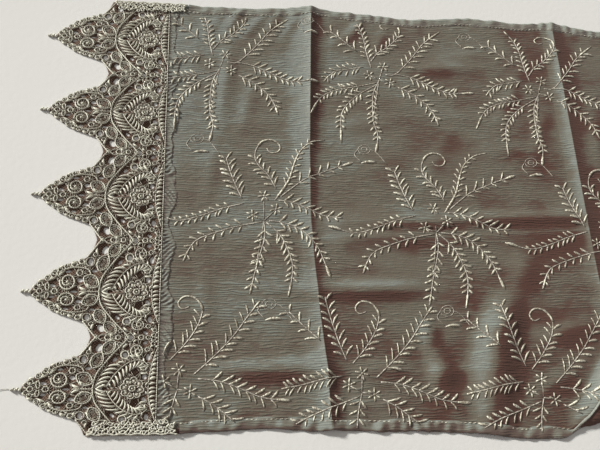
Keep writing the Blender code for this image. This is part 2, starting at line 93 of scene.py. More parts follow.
# Folds across the wrap, one at each section's end, moved by shift. A ridge stands up, a valley lies
# between rises. Shares say how high it stands at FOLD_ROWS, and drifts how far its line strays along
# the wrap at DRIFT_ROWS.
FOLD_ROWS = (-175, -115, -75, 0, 45, 80, 175)
DRIFT_ROWS = (-175, -130, -90, -50, -15, 40, 80, 130, 175)
DRIFT_REACH = 16.0              # how far to each side the cloth's grid goes with a fold
CrossFold = namedtuple("CrossFold", "section shift ridge rise before after shares drifts")
CROSS_FOLDS = table(
    CrossFold,
    (1, -2.6, True, 4.1, 9.5, 6, (0.85, 0.75, 0.45, 0.42, 0.65, 1.05, 1.05),
     (2.1, 1.2, -1.8, -4.0, -5.3, -3.7, -2.0, 0.4, 2.8)),
    (2, -2.2, True, 3.1, 7.5, 11, (0.4, 0.4, 0.55, 0.85, 0.8, 0.9, 0.85),
     (0.2, 0.2, 0.2, 0.4, 0.3, 1.2, 1.6, 2.6, 2.8)),
    (3, 0, False, 2.4, 15, 18, (0.8, 1.1, 1.0, 0.7, 0.9, 1.1, 0.8),
     (-1.2, -0.8, 0.3, 1.2, 1.5, 0.8, 0.0, -0.9, -1.4)),
    (4, 0, True, 4.8, 16, 9, (0.9, 0.6, 0.8, 1.15, 1.0, 0.7, 0.9),
     (1.9, 0.7, -1.0, -2.4, -3.0, -2.6, -1.2, 0.5, 1.6)),
    (5, 1.5, True, 4, 9, 14, (1.0, 0.8, 0.5, 0.7, 1.1, 1.0, 0.9),
     (-0.8, -0.2, 0.9, 1.8, 2.0, 1.0, 0.2, -0.4, -1.0)),
    (6, 0, False, 2.6, 17, 13, (0.7, 0.9, 1.1, 0.9, 0.8, 1.0, 1.1),
     (1.0, 0.6, -0.4, -1.4, -1.8, -1.5, -0.9, 0.3, 1.3)),
    (7, -1, True, 4.2, 9, 15, (1.1, 1.0, 0.7, 0.6, 0.9, 1.1, 1.0),
     (-1.5, -1.1, 0.0, 1.3, 2.3, 2.1, 1.0, -0.3, -1.2)),
)

# Creases along the wrap, as valleys between two soft rises
LongFold = namedtuple("LongFold", "start end y_start y_end rise spread")
LONG_FOLDS = table(
    LongFold,
    (204, 424, -27, -17, 1.5, 6), (632, 838, -22, -30, 2.2, 14), (1052, 1262, -18, -27, 2.4, 13),
)
LONG_FOLD_ENDS = 25.0

# Soft swellings: centre, half length, half width, turn from the wrap's length, rise
Swell = namedtuple("Swell", "s y half_length half_width turn rise")
SWELLS = table(
    Swell,
    (169, -130.5, 44, 7.5, 0, 2.8), (245, -72, 40, 7, 0, 3.6), (283, -106, 13, 8, 86, 1.9),
    (289, -132, 14, 9.5, 90, 2.8), (339, -97, 22, 12.5, 65, 3), (327, -138, 42, 15.5, 78, 4.4),
    (390, -62, 26, 12, 12, 0.7), (300, 128, 46, 14, -8, 1), (520, -86, 60, 16, -10, 3),
    (575, 60, 52, 15, 14, 2.6), (700, 95, 64, 17, -6, 2.4), (745, -110, 46, 15, 70, 3.2),
    (905, -75, 58, 16, 12, 2.8), (985, 70, 50, 15, -18, 2.6), (1110, 105, 56, 16, 8, 2.4),
    (1150, -104, 44, 14, 76, 3.4), (1320, 40, 60, 17, -12, 2.6), (1390, -92, 52, 15, 16, 3),
)

# Smaller creases and puckers that the solid leaves out, placed where the picture has them
FINE_SWELLS = table(
    Swell,
    (132, 160, 13, 3, 62, 0.9), (146, 162, 14, 3, 58, 1.2), (163, 158, 15, 3.2, 52, 1.3),
    (179, 163, 11, 3, 58, 0.9), (192, 158, 13, 3.2, 66, 0.9), (114, 112, 40, 5, 88, 0.6),
    (140, 104, 36, 6, 84, 0.9), (158, 84, 26, 5, 78, 0.5), (128, 20, 26, 5, 82, 0.5),
    (124, -74, 24, 5, 96, 0.6), (160, 62, 34, 6, 4, 0.5), (176, -72, 30, 6, -6, 0.6),
    (190, 24, 24, 6, 70, 0.5), (236, 150, 15, 4, 40, 0.8), (247, 158, 12, 3.4, 60, 0.8),
    (268, 150, 12, 3.4, 66, 0.7), (246, 66, 32, 7, 10, 0.6), (240, 104, 30, 6, 50, 0.3),
    (312, -19, 112, 1.8, 3.1, 0.8), (366, -12.2, 52, 3.4, 2.8, 1.2), (250, -30, 30, 4.5, 3, 0.7),
    (249, -131, 18, 6, 2, 1.3), (297, -134, 12, 5, 0, 1.3), (293, -152, 16, 5, -14, 0.9),
    (240, -154, 24, 5, 4, 0.7), (316, 78, 34, 7, -12, 0.6), (352, 44, 34, 7, 8, 0.4),
    (300, 30, 32, 6, 62, 0.4), (320, 123, 30, 4.5, 5, 1.4), (340, 137, 20, 5, 10, 0.6),
    (372, 96, 30, 6, 62, 0.7), (392, 60, 26, 6, 70, 0.6), (360, -60, 16, 10.5, 74, 1.2),
    (388, -103, 20, 7, 12, 1.6), (380, -36, 22, 6, 8, 0.3), (372, -140, 20, 6, 30, 1),
    (441, 62, 34, 8, 84, 0.8), (452, -60, 34, 8, 10, 1), (446, -104, 26, 7, -16, 1.1),
)

# Past the part that the picture shows, smaller creases are drawn at random between these limits
MORE_FROM = 490.0
MORE_TO = 1560.0
MORE_COUNT = 46
MORE_Y = (-158, 158)
MORE_HALF_LENGTHS = (14, 36)
MORE_HALF_WIDTHS = (4, 8)
MORE_TURNS = (0, 8, -10, 58, 74, 86, 98)
MORE_RISES = (0.6, 1.4)

# A wave: its size, the length of one radian, its shift, and how far its phase strays and how slowly
Wave = namedtuple("Wave", "size length shift stray slow", defaults=(0.0, 0.0, 1.0))

# Small gathers that run in from an edge: where they are highest, how far they reach, size and waves
Puckers = namedtuple("Puckers", "inset reach size waves")
HEM_PUCKERS = Puckers(9.0, 9.0, 0.22, table(Wave, (1.0, 3.3, 0.0, 1.7, 17.0), (0.6, 5.9, 2.0)))
SEAM_PUCKERS = Puckers(13.0, 9.0, 0.26, table(Wave, (1.0, 3.6, 0.0, 2.2, 23.0), (0.5, 7.1, 1.0)))
RIPPLE = 0.07

# The near edge rolled under
ROLL_START = 377.0
ROLL_WIDEST = 426.0
ROLL_END = 536.0
ROLL_CREST = 32.0
ROLL_RISE = 7.0
ROLL_FADE = 20.0
ROLL_LIP = 0.35

FLAT_BELOW = 0.6
FLAT_AT_SEAM = 16.0
SEAM_EASE = 25.0
FINE_AT_SEAM = 0.35             # share of the smaller creases that is left beside a seam

# The cloth's grid
STATION_STEP = 3.4
FAR_STATION_STEP = 4.4          # past the part that the picture shows
CREASE_STEPS = (-9.0, -6.0, -4.2, -2.8, -1.8, -1.0, -0.4, 0.0, 0.4, 1.0, 1.8, 2.8, 4.2, 6.0, 9.0)
ROWS_BELOW_CREASE = 38
ROWS_ABOVE_CREASE = 49


# Height of the cloth

def smooth(t):
    """0 to 1 with level ends."""
    t = np.clip(t, 0.0, 1.0)
    return t * t * (3.0 - 2.0 * t)


def waves(parts, x):
    """The sum of some waves at x."""
    return sum(w.size * np.sin(x / w.length + w.shift + w.stray * np.sin(x / w.slow)) for w in parts)


def turned(ds, dy, degrees):
    """How far ds and dy go along and across a direction."""
    turn = radians(degrees)
    return ds * cos(turn) + dy * sin(turn), dy * cos(turn) - ds * sin(turn)


EDGES = dict(zip(EdgeRow._fields, np.array(CLOTH_EDGES).T))


def edge_y(column, s):
    """A column of CLOTH_EDGES at s, smooth between its rows."""
    at = EDGES["s"]
    values = EDGES[column]
    k = np.clip(np.searchsorted(at, s) - 1, 0, len(at) - 2)
    return values[k] + (values[k + 1] - values[k]) * smooth((s - at[k]) / (at[k + 1] - at[k]))


def from_seam(s):
    return np.minimum(s, LENGTH - s) - LACE_DEPTH


def roll_share(s):
    """0 where the near edge lies flat, 1 where it is rolled under most."""
    before = smooth((s - ROLL_START) / (ROLL_WIDEST - ROLL_START))
    after = smooth((ROLL_END - s) / (ROLL_END - ROLL_WIDEST))
    return np.where(s < ROLL_WIDEST, before, after)


def roll_lift(s, y):
    share = roll_share(s)
    inward = y - edge_y("near", s)
    crest = np.maximum(ROLL_CREST * share, 1.0)
    rising = ROLL_LIP + (1.0 - ROLL_LIP) * np.sin(0.5 * np.pi * np.clip(inward / crest, 0.0, 1.0))
    falling = 1.0 - smooth((inward - crest) / ROLL_FADE)
    return ROLL_RISE * np.sqrt(share) * np.where(inward < crest, rising, falling)


def fold_s(fold):
    return fold.section * FOLD_PITCH + fold.shift


def fold_drift(fold, y):
    return np.interp(y, DRIFT_ROWS, fold.drifts)


def cross_fold_lift(s, y):
    total = np.zeros_like(s)
    for fold in CROSS_FOLDS:
        away = s - fold_s(fold) - fold_drift(fold, y)
        part = np.abs(away) / np.where(away < 0, fold.before, fold.after)
        rise = fold.rise * np.interp(y, FOLD_ROWS, fold.shares)
        total += rise * (np.exp(-part) if fold.ridge else part * np.exp(1.0 - part))
    return total


def crease_y(s):
    """The y of the lengthwise crease: each one's own, and a straight way between them."""
    ends = [end for fold in LONG_FOLDS for end in (fold.start, fold.end)]
    ys = [y for fold in LONG_FOLDS for y in (fold.y_start, fold.y_end)]
    return np.interp(s, ends, ys)


def long_fold_lift(s, y):
    total = np.zeros_like(s)
    for fold in LONG_FOLDS:
        fade = smooth((s - fold.start) / LONG_FOLD_ENDS) * smooth((fold.end - s) / LONG_FOLD_ENDS)
        part = np.abs(y - crease_y(s)) / fold.spread
        total += fold.rise * fade * part * np.exp(1.0 - part)
    return total


def swell_lift(s, y, swells):
    total = np.zeros_like(s)
    for swell in swells:
        along, across = turned(s - swell.s, y - swell.y, swell.turn)
        total += swell.rise * np.exp(-(along / swell.half_length) ** 2 - (across / swell.half_width) ** 2)
    return total


def more_swells():
    """Smaller creases for the part of the wrap that the picture doesn't show."""
    draw = random.Random(SEED)
    swells = []
    for k in range(MORE_COUNT):
        s = MORE_FROM + (MORE_TO - MORE_FROM) * (k + draw.random()) / MORE_COUNT
        y = draw.uniform(*MORE_Y)
        turn = draw.choice(MORE_TURNS)
        half_length = draw.uniform(*MORE_HALF_LENGTHS)
        half_width = draw.uniform(*MORE_HALF_WIDTHS)
        swells.append(Swell(s, y, half_length, half_width, turn, draw.uniform(*MORE_RISES)))
    return swells


def puckers_lift(puckers, inside, x):
    near = np.exp(-np.square((inside - puckers.inset) / puckers.reach))
    return puckers.size * near * waves(puckers.waves, x)


def gather_lift(s, y):
    """Small gathers that run in from the hems and the seams, and a faint ripple everywhere."""
    from_hem = np.minimum(edge_y("far", s) - y, y - edge_y("near", s))
    gathers = puckers_lift(HEM_PUCKERS, from_hem, s) + puckers_lift(SEAM_PUCKERS, from_seam(s), y)
    ripple = np.sin(y / 2.3 + 3.0 * np.sin(s / 90.0 + y / 60.0)) * np.sin(s / 41.0 + y / 29.0)
    return gathers + RIPPLE * ripple


FINE = FINE_SWELLS + more_swells()


def under_lift(s, y):
    """Height of the cloth's underside above the surface it lies on."""
    total = cross_fold_lift(s, y) + long_fold_lift(s, y) + swell_lift(s, y, SWELLS)
    ease = smooth((from_seam(s) - FLAT_AT_SEAM) / SEAM_EASE)
    total = np.maximum(0.0, total * ease - FLAT_BELOW)
    fine = swell_lift(s, y, FINE) * (FINE_AT_SEAM + (1.0 - FINE_AT_SEAM) * ease) + gather_lift(s, y)
    return np.maximum(CLOTH_LEAST, total + fine + roll_lift(s, y))


def top_lift(s, y):
    """Height of the cloth's upper side."""
    return under_lift(s, y) + CLOTH_THICK


# Forms

class Form:
    """Points (s, y, height) and faces that become one mesh."""

    def __init__(self):
        self.points = []
        self.faces = []

    def add(self, points, faces):
        first = len(self.points)
        self.points.extend(points)
        self.faces.extend([first + i for i in face] for face in faces)


def grid_points(s, y, height):
    return np.stack(np.broadcast_arrays(s, y, height), axis=-1).reshape(-1, 3).tolist()


def grid_faces(rows, columns, flip=False):
    corners = [i * columns + j for i in range(rows - 1) for j in range(columns - 1)]
    faces = [(a, a + columns, a + columns + 1, a + 1) for a in corners]
    return [face[::-1] for face in faces] if flip else faces


def slab_faces(top, count):
    """The faces on top, the same below, where points are count later, and the walls between."""
    ways = {(face[k - 1], face[k]) for face in top for k in range(len(face))}
    walls = [(b, a, count + a, count + b) for a, b in sorted(ways) if (b, a) not in ways]
    return top + [tuple(count + i for i in reversed(face)) for face in top] + walls


# Across a cord, from its left foot over its top: shares of its width and height
CORD_SECTION = ((-0.5, 0.42), (0.0, 1.0), (0.5, 0.42), (0.3, 0.0), (-0.3, 0.0))
THREAD_SECTION = ((-0.5, 0.0), (0.0, 1.0), (0.5, 0.0))
KNOB_SECTION = ((0.86, 0.0), (1.0, 0.4), (0.62, 0.88))
LEAF_SHARES = (0.3, 0.92, 1.0, 0.78, 0.14)
LEAFLET_SHARES = (0.25, 0.66, 1.0, 0.96, 0.4)
BEAD = 1.7
BEAD_WAIST = 0.62


def cord(form, route, width, height, closed=False, base=0.0, shares=None, section=CORD_SECTION):
    """A rounded thread along a route of (s, y) points, thinner or thicker by shares."""
    count = len(route)
    sides = len(section)
    points = []
    for k, (s, y) in enumerate(route):
        back = route[k - 1] if k > 0 or closed else route[0]
        ahead = route[(k + 1) % count] if k < count - 1 or closed else route[-1]
        ds = ahead[0] - back[0]
        dy = ahead[1] - back[1]
        share = shares[k] if shares else 1.0
        for across, up in section:
            u = across * width * share / (hypot(ds, dy) or 1.0)
            points.append((s - dy * u, y + ds * u, base + up * height * share))
    faces = []
    for k in range(count if closed else count - 1):
        here = k * sides
        there = ((k + 1) % count) * sides
        for j in range(sides):
            after = (j + 1) % sides
            faces.append((here + j, there + j, there + after, here + after))
    if not closed:
        last = (count - 1) * sides
        faces.append(tuple(range(sides)))
        faces.append(tuple(last + j for j in reversed(range(sides))))
    form.add(points, faces)


def thread(form, route, width, height, base):
    """A fine thread, with fewer sides than a cord."""
    cord(form, route, width, height, base=base, section=THREAD_SECTION)


def bead_shares(count):
    """Shares that swell at every other place, as close stitches do."""
    return [1.0 if k % 2 else BEAD_WAIST for k in range(count)]


def beaded(route, closed=False):
    """The route in even steps, with the shares of its beads."""
    ends = [*route, route[0]] if closed else route
    length = sum(dist(a, b) for a, b in zip(ends, ends[1:]))
    count = max(4, 2 * round(length / BEAD))
    places = [place for place, direction in along_route(ends, count + 1)]
    if closed:
        places.pop()
    return places, bead_shares(len(places))


def bent(start, end, bend, steps):
    """Points from start to end, bowed to the left by bend of their distance."""
    ds = end[0] - start[0]
    dy = end[1] - start[1]
    route = []
    for k in range(steps + 1):
        t = k / steps
        bow = 4.0 * t * (1.0 - t) * bend
        route.append((start[0] + ds * t - dy * bow, start[1] + dy * t + ds * bow))
    return route


def leaf(form, start, end, width, height, bend=0.0, base=0.0, shares=LEAF_SHARES):
    cord(form, bent(start, end, bend, len(shares) - 1), width, height, base=base, shares=shares)


def place_at(s, y, along, across, turn):
    """The place along and across from (s, y), where along is turned by turn."""
    return (s + along * cos(turn) - across * sin(turn), y + along * sin(turn) + across * cos(turn))


def loop_points(s, y, half_length, half_width, turn=0.0, sides=12):
    angles = [2.0 * pi * k / sides for k in range(sides)]
    return [place_at(s, y, half_length * cos(a), half_width * sin(a), turn) for a in angles]


def knob(form, s, y, reach, height, sides=7, base=0.0):
    """A small round bump."""
    points = []
    for share, up in KNOB_SECTION:
        around = loop_points(s, y, reach * share, reach * share, sides=sides)
        points += [(*p, base + height * up) for p in around]
    points.append((s, y, base + height))
    faces = [tuple(reversed(range(sides)))]
    for level in range(2):
        for j in range(sides):
            a = level * sides + j
            b = level * sides + (j + 1) % sides
            faces.append((a, b, b + sides, a + sides))
    top = 2 * sides
    faces += [(top + j, top + (j + 1) % sides, 3 * sides) for j in range(sides)]
    form.add(points, faces)


def smooth_route(points, steps):
    """A Catmull-Rom curve through the points."""
    padded = [points[0], *points, points[-1]]
    route = []
    for corners in zip(padded, padded[1:], padded[2:], padded[3:]):
        for k in range(steps):
            t = k / steps
            weights = (
                -0.5 * t + t * t - 0.5 * t ** 3,
                1.0 - 2.5 * t * t + 1.5 * t ** 3,
                0.5 * t + 2.0 * t * t - 1.5 * t ** 3,
                -0.5 * t * t + 0.5 * t ** 3,
            )
            route.append(tuple(sum(w * p[axis] for w, p in zip(weights, corners)) for axis in (0, 1)))
    route.append(tuple(points[-1]))
    return route


def between(a, b, t):
    return (a[0] + (b[0] - a[0]) * t, a[1] + (b[1] - a[1]) * t)


def towards(a, b):
    """The direction from a to b."""
    return atan2(b[1] - a[1], b[0] - a[0])


def along_route(route, count, start=0.0, end=1.0):
    """count places along a route: ((s, y), direction)."""
    lengths = [0.0]
    for a, b in zip(route, route[1:]):
        lengths.append(lengths[-1] + dist(a, b))
    found = []
    for k in range(count):
        share = start + (end - start) * (k / (count - 1) if count > 1 else 0.5)
        wanted = share * lengths[-1]
        i = max(i for i in range(len(route) - 1) if lengths[i] <= wanted + 1e-9)
        t = (wanted - lengths[i]) / max(lengths[i + 1] - lengths[i], 1e-9)
        found.append((between(*route[i:i + 2], t), towards(*route[i:i + 2])))
    return found


def from_point(point, angle, distance):
    return (point[0] + distance * cos(angle), point[1] + distance * sin(angle))


def placed(name, data):
    """A new object in the scene."""
    made = bpy.data.objects.new(name, data)
    bpy.context.scene.collection.objects.link(made)
    return made


def make_piece(name, form, material, lift=None, right=False):
    """A mesh from a form, or from its mirror image at the wrap's right end.

    lift gives the height of what it lies on, at arrays of s and y.
    """
    points = np.array(form.points, float)
    if right:
        points[:, 0] = LENGTH - points[:, 0]
    if lift:
        points[:, 2] += lift(points[:, 0], points[:, 1])
    points[:, 0] -= LENGTH / 2
    points *= MM
    faces = [face[::-1] for face in form.faces] if right else form.faces
    mesh = bpy.data.meshes.new(name)
    mesh.from_pydata(points.tolist(), [], faces)
    mesh.materials.append(material)
    mesh.shade_smooth()
    made = placed(name, mesh)
    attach(made, "root")
    return made


# Materials

CLOTH_PAINTED_SHADE = (0.088, 0.039, 0.028)     # painted red-brown shade where the cloth turns from the light, and in its fine lines' grooves
CLOTH_FLAT = (0.153, 0.141, 0.108)
CLOTH_PAINTED_SHEEN = (0.216, 0.236, 0.211)     # painted blue-grey sheen where the cloth turns to the light
CLOTH_DOUBLED = (0.300, 0.312, 0.275)
# The way that light is painted from, and how far the surface must turn from flat to get full painted shade
# or sheen
PAINTED_LIGHT_FROM = (-0.80, 0.60, 0.0)
PAINTED_LIGHT_REACH = 0.15
LINE_PITCH = 0.0020
GROUND_PITCH = 0.0021
# Slow changes over the whole wrap: from and to in metres, then their values there. All but LINES_FADE move
# the painted light and shade, as the light falls off over the wrap.
LINES_FADE = (-0.66, -0.60, 0.14, 0.0)      # over X: the lines show most near the lace
PAINTED_LIGHT_NEAR_LACE = (-0.72, -0.38, 0.055, -0.07)  # over X: more painted sheen near the lace, more painted shade farther in
EVEN_PAST = (-0.3, 0.2, 0.0, 0.055)         # over X: even again past what the picture shows
PAINTED_LIGHT_TO_FAR = (-0.15, 0.13, -0.045, 0.02)    # over Y: more painted shade at the near edge, a little more painted sheen at the far one
PAINTED_LIGHT_ON_FAR_THREAD = (0.0, 0.15, 0.0, 0.14)        # over Y: more light painted on the thread at the far edge
THREAD_SHADE = (0.27, 0.24, 0.18)
# LACE_LOW and STRIP_LOW: painted brown shade at the threads' feet, and the dark of their random wear and
# twist
LACE_LOW = (0.15, 0.095, 0.065)
STRIP_LOW = (0.15, 0.10, 0.07)
LACE_HIGH = (0.90, 0.89, 0.76)
# The embroidery and stem threads' dark and light: the dark is their stitches' and wear's, and also the
# painted shade on the side turned from the light
SATIN_LOW = (0.23, 0.19, 0.14)
SATIN_HIGH = (0.79, 0.77, 0.63)
STEM_DARK = (0.20, 0.165, 0.13)
STEM_LIGHT = (0.64, 0.60, 0.51)
# The ground sheet under the cords: painted dark shade between its threads, and its threads darkened as if in
# shade
GROUND_PAINTED_SHADE = (0.060, 0.031, 0.021)
GROUND_THREAD_IN_SHADE = (0.15, 0.10, 0.072)
FLOOR_COLOURS = ((0.70, 0.69, 0.67), (0.74, 0.73, 0.71))


class Paint:
    """A node material, with short calls for the nodes that the finishes share."""

    def __init__(self, name, roughness, specular, sheen=0.0):
        self.material = bpy.data.materials.new(name)
        self.material.use_nodes = True
        self.tree = self.material.node_tree
        self.shader = self.tree.nodes["Principled BSDF"]
        self.join(self.shader, {"Roughness": roughness, "Specular IOR Level": specular,
                                "Sheen Weight": sheen, "Sheen Roughness": 0.5})
        self.place = self.node("TexCoord", {}).outputs["Object"]

    def join(self, node, sockets):
        """Joins each socket to an output, or sets it to a value."""
        for socket, value in sockets.items():
            if hasattr(value, "is_output"):
                self.tree.links.new(value, node.inputs[socket])
            else:
                node.inputs[socket].default_value = value

    def node(self, kind, sockets, **settings):
        node = self.tree.nodes.new("ShaderNode" + kind)
        for setting, value in settings.items():
            setattr(node, setting, value)
        self.join(node, sockets)
        return node

    def noise(self, stretch, detail=2.0):
        """Noise with features of 1/stretch metres along each axis."""
        vector = self.node("Mapping", {"Vector": self.place, "Scale": stretch}).outputs["Vector"]
        return self.node("TexNoise", {"Vector": vector, "Scale": 1.0, "Detail": detail}).outputs["Fac"]

    def spread(self, value, low, high, to_low=0.0, to_high=1.0):
        """to_low where the value is low, to_high where it is high, with soft ends."""
        sockets = {"Value": value, "From Min": low, "From Max": high, "To Min": to_low, "To Max": to_high}
        return self.node("MapRange", sockets, interpolation_type="SMOOTHSTEP").outputs["Result"]

    def math(self, kind, *values):
        return self.node("Math", dict(enumerate(values)), operation=kind).outputs["Value"]

    def axis(self, name):
        return self.node("SeparateXYZ", {0: self.place}).outputs[name]

    def ripples(self, along, pitch, wander):
        """0 to 1 and back every pitch metres; wander is a noise that shifts it, in radians."""
        phase = self.math("ADD", self.math("MULTIPLY", along, 2.0 * pi / pitch), wander)
        return self.math("MULTIPLY_ADD", self.math("SINE", phase), 0.5, 0.5)

    def mix(self, share, a, b):
        a, b = ((*colour, 1.0) if isinstance(colour, tuple) else colour for colour in (a, b))
        return self.node("Mix", {0: share, 6: a, 7: b}, data_type="RGBA").outputs[2]

    def facing(self):
        """How much the surface turns towards the way that light is painted from."""
        normal = self.node("NewGeometry", {}).outputs["Normal"]
        sockets = {0: normal, 1: PAINTED_LIGHT_FROM}
        return self.node("VectorMath", sockets, operation="DOT_PRODUCT").outputs["Value"]

    def shaded(self, colour, most, shade):
        """The colour, with up to most of shade painted where the surface turns from the painted light."""
        return self.mix(self.spread(self.facing(), -0.5, 0.25, most, 0.0), colour, shade)

    def finish(self, colour, bump, depth):
        node = self.node("Bump", {"Strength": 1.0, "Distance": depth, "Height": bump})
        self.join(self.shader, {"Normal": node.outputs["Normal"], "Base Color": colour})
        return self.material


def crepe_lines(paint):
    """0 to 1 over the crepe's fine lengthwise lines, which wander and break off."""
    wander = paint.math("MULTIPLY", paint.noise((62.0, 170.0, 60.0)), 15.0)
    lines = paint.ripples(paint.axis("Y"), LINE_PITCH, wander)
    broken = paint.noise((95.0, 330.0, 100.0))
    lines = paint.math("MULTIPLY", lines, paint.spread(broken, 0.34, 0.62, 0.1, 1.0))
    calm = paint.math("ADD", paint.noise((13.0, 17.0, 13.0)), paint.spread(paint.axis("X"), *LINES_FADE))
    lines = paint.math("MULTIPLY", lines, paint.spread(calm, 0.36, 0.58, 0.35, 1.0))
    return paint.spread(paint.math("ADD", paint.noise((130.0, 700.0, 200.0)), lines), 0.3, 1.5)


def cloth_paint(name, lighten, line_depth):
    """Crepe with fine lengthwise lines, with a red-brown painted shade where it turns from the light and a
    blue-grey painted sheen where it turns to it.
    """
    paint = Paint(name, 0.52, 0.35, sheen=0.1)
    lines = crepe_lines(paint)
    # How far the cloth turns to the painted light, moved by the slow falloffs of painted light, random
    # patches and the fine lines
    facing = paint.facing()
    for part in (
        paint.spread(paint.axis("X"), *PAINTED_LIGHT_NEAR_LACE),
        paint.spread(paint.axis("Y"), *PAINTED_LIGHT_TO_FAR),
        paint.spread(paint.axis("X"), *EVEN_PAST),
        paint.spread(paint.noise((17.0, 30.0, 17.0), 3.0), 0.33, 0.67, -0.065, 0.06),
        paint.spread(lines, 0.0, 1.0, -0.03, 0.03),
    ):
        facing = paint.math("ADD", facing, part)
    # Painted shade and painted sheen, by how far the cloth turns from or to the painted light
    colour = paint.mix(paint.spread(facing, -PAINTED_LIGHT_REACH, 0.0), CLOTH_PAINTED_SHADE, CLOTH_FLAT)
    colour = paint.mix(paint.spread(facing, 0.0, PAINTED_LIGHT_REACH), colour, CLOTH_PAINTED_SHEEN)
    # Painted shade in the grooves of the fine lines
    colour = paint.mix(paint.spread(lines, 0.0, 0.75, 0.25, 0.0), colour, CLOTH_PAINTED_SHADE)
    colour = paint.mix(lighten, colour, CLOTH_DOUBLED)
    cross = paint.noise((900.0, 900.0, 900.0), 1.0)
    return paint.finish(colour, paint.math("MULTIPLY_ADD", cross, 0.3, lines), line_depth)


def thread_paint(name, low, high, low_at, high_at, roughness):
    """Cotton or silk thread, with a brown painted shade towards its foot and on the side turned from the
    light, and more light painted at the far edge.
    """
    paint = Paint(name, roughness, 0.4, sheen=0.1)
    twist = paint.noise((1500.0, 1500.0, 1500.0))
    wear = paint.noise((60.0, 60.0, 60.0))
    # Painted brown shade towards the thread's foot
    colour = paint.mix(paint.spread(paint.axis("Z"), low_at, high_at), low, high)
    colour = paint.shaded(colour, 0.6, THREAD_SHADE)
    colour = paint.mix(paint.spread(wear, 0.35, 0.7, 0.0, 0.22), colour, low)
    colour = paint.mix(paint.spread(twist, 0.35, 0.65, 0.2, 0.0), colour, low)
    # More light painted on the thread towards the far edge
    colour = paint.mix(paint.spread(paint.axis("Y"), *PAINTED_LIGHT_ON_FAR_THREAD), colour, high)
    return paint.finish(colour, twist, 0.0003)


def satin_paint(name, low, high, roughness):
    """Embroidery thread in close stitches, with painted shade on the side turned from the light."""
    paint = Paint(name, roughness, 0.5, sheen=0.15)
    stitches = paint.noise((900.0, 700.0, 500.0), 1.0)
    wear = paint.noise((70.0, 70.0, 45.0))
    colour = paint.mix(paint.spread(stitches, 0.38, 0.62), low, high)
    colour = paint.mix(paint.spread(wear, 0.4, 0.68, 0.0, 0.5), colour, low)
    # Painted shade on the side turned from the light
    return paint.finish(paint.shaded(colour, 0.8, low), stitches, 0.0004)


def ground_paint():
    """The lace's close-stitched ground, coloured as painted dark shade between threads that cross in fine
    diamonds.
    """
    paint = Paint("lace_ground", 0.8, 0.2)
    drift = paint.math("MULTIPLY", paint.noise((90.0, 90.0, 90.0)), 5.0)
    diagonals = [paint.math(kind, paint.axis("X"), paint.axis("Y")) for kind in ("ADD", "SUBTRACT")]
    threads = paint.math("MAXIMUM", *(paint.ripples(way, GROUND_PITCH, drift) for way in diagonals))
    colour = paint.mix(paint.spread(threads, 0.75, 1.0), GROUND_PAINTED_SHADE, GROUND_THREAD_IN_SHADE)
    return paint.finish(colour, threads, 0.0004)


def floor_paint():
    paint = Paint("studio_floor", 0.9, 0.2)
    patches = paint.noise((3.0, 3.0, 3.0))
    grain = paint.noise((240.0, 240.0, 240.0))
    return paint.finish(paint.mix(patches, *FLOOR_COLOURS), grain, 0.0001)


# Cloth

def cloth_stations():
    end = LENGTH - LACE_DEPTH - SEAM_GAP
    stations = {*np.arange(LACE_DEPTH + SEAM_GAP, MORE_FROM, STATION_STEP)}
    stations |= {*np.arange(MORE_FROM, end, FAR_STATION_STEP), end}
    for fold in CROSS_FOLDS:
        middle = fold_s(fold)
        stations = {s for s in stations if abs(s - middle) > CREASE_STEPS[-1] + 1.0}
        stations |= {middle + step for step in CREASE_STEPS}
    return np.array(sorted(stations))


def cloth_rows(s):
    """The y of each point of the grid, at s, with a row along the lengthwise crease."""
    crease = crease_y(s)
    below = np.linspace(-1.0, 0.0, ROWS_BELOW_CREASE + 1)[:-1]
    share = np.hstack([below, np.linspace(0.0, 1.0, ROWS_ABOVE_CREASE + 1)])
    edge = np.where(share < 0.0, edge_y("near", s), edge_y("far", s))
    return crease + (edge - crease) * np.abs(share)


def cloth_grid():
    """The s and y of the grid's points. Near a fold they go with its line."""
    stations = cloth_stations()[:, None]
    s = np.repeat(stations, ROWS_BELOW_CREASE + ROWS_ABOVE_CREASE + 1, axis=1)
    y = cloth_rows(s)
    for fold in CROSS_FOLDS:
        s += fold_drift(fold, y) * np.exp(-np.square((stations - fold_s(fold)) / DRIFT_REACH))
    return s, cloth_rows(s)


def make_cloth(material):
    s, y = cloth_grid()
    low = under_lift(s, y)
    form = Form()
    form.points = grid_points(s, y, low + CLOTH_THICK) + grid_points(s, y, low)
    form.faces = slab_faces(grid_faces(*y.shape), y.size)
    return make_piece("cloth", form, material)


# Hems

# Across a hem from inside the fold of its outer edge: distance from the edge, height over the cloth
HEM_SECTION = (
    (0.6, -0.55), (-0.35, -0.35), (-0.55, 0.15), (-0.1, 0.62), (1.2, 0.86), (3.2, 0.68), (5.2, 0.62),
    (6.6, 0.36), (7.8, -0.1),
)
HEM_STEP = 1.3
HEM_FADE = 16.0
HEM_LEAST = 0.1                 # share of a hem's width that is left where it goes out of sight
HEM_WIDTHS = table(Wave, (0.05, 13.0), (0.04, 5.1, 1.0))
HEM_GATHERS = table(Wave, (1, 1.35, 0, 3.0, 23.0), (1, 2.15, 0, 2.0, 17.0), (0.8, 3.9, 0, 1.6, 29.0))
HEM_CALM = table(Wave, (0.4, 31.0))
HEM_GATHERED = 0.6
HEM_EDGE = table(Wave, (0.35, 9.3))
HEM_MIDDLE = 0.5                # share of its width where tilt leaves it as it is
HEM_TILT = table(Wave, (0.6, 2.1, 0.0, 2.4, 11.0), (0.55, 5.3, 0.0, 1.0, 19.0))
HEM_PUFF = 0.42
HEM_PUFFED = (1.0, 7.0)         # how far from its edge the gathers stand up
HEM_SCALLOP = 0.24
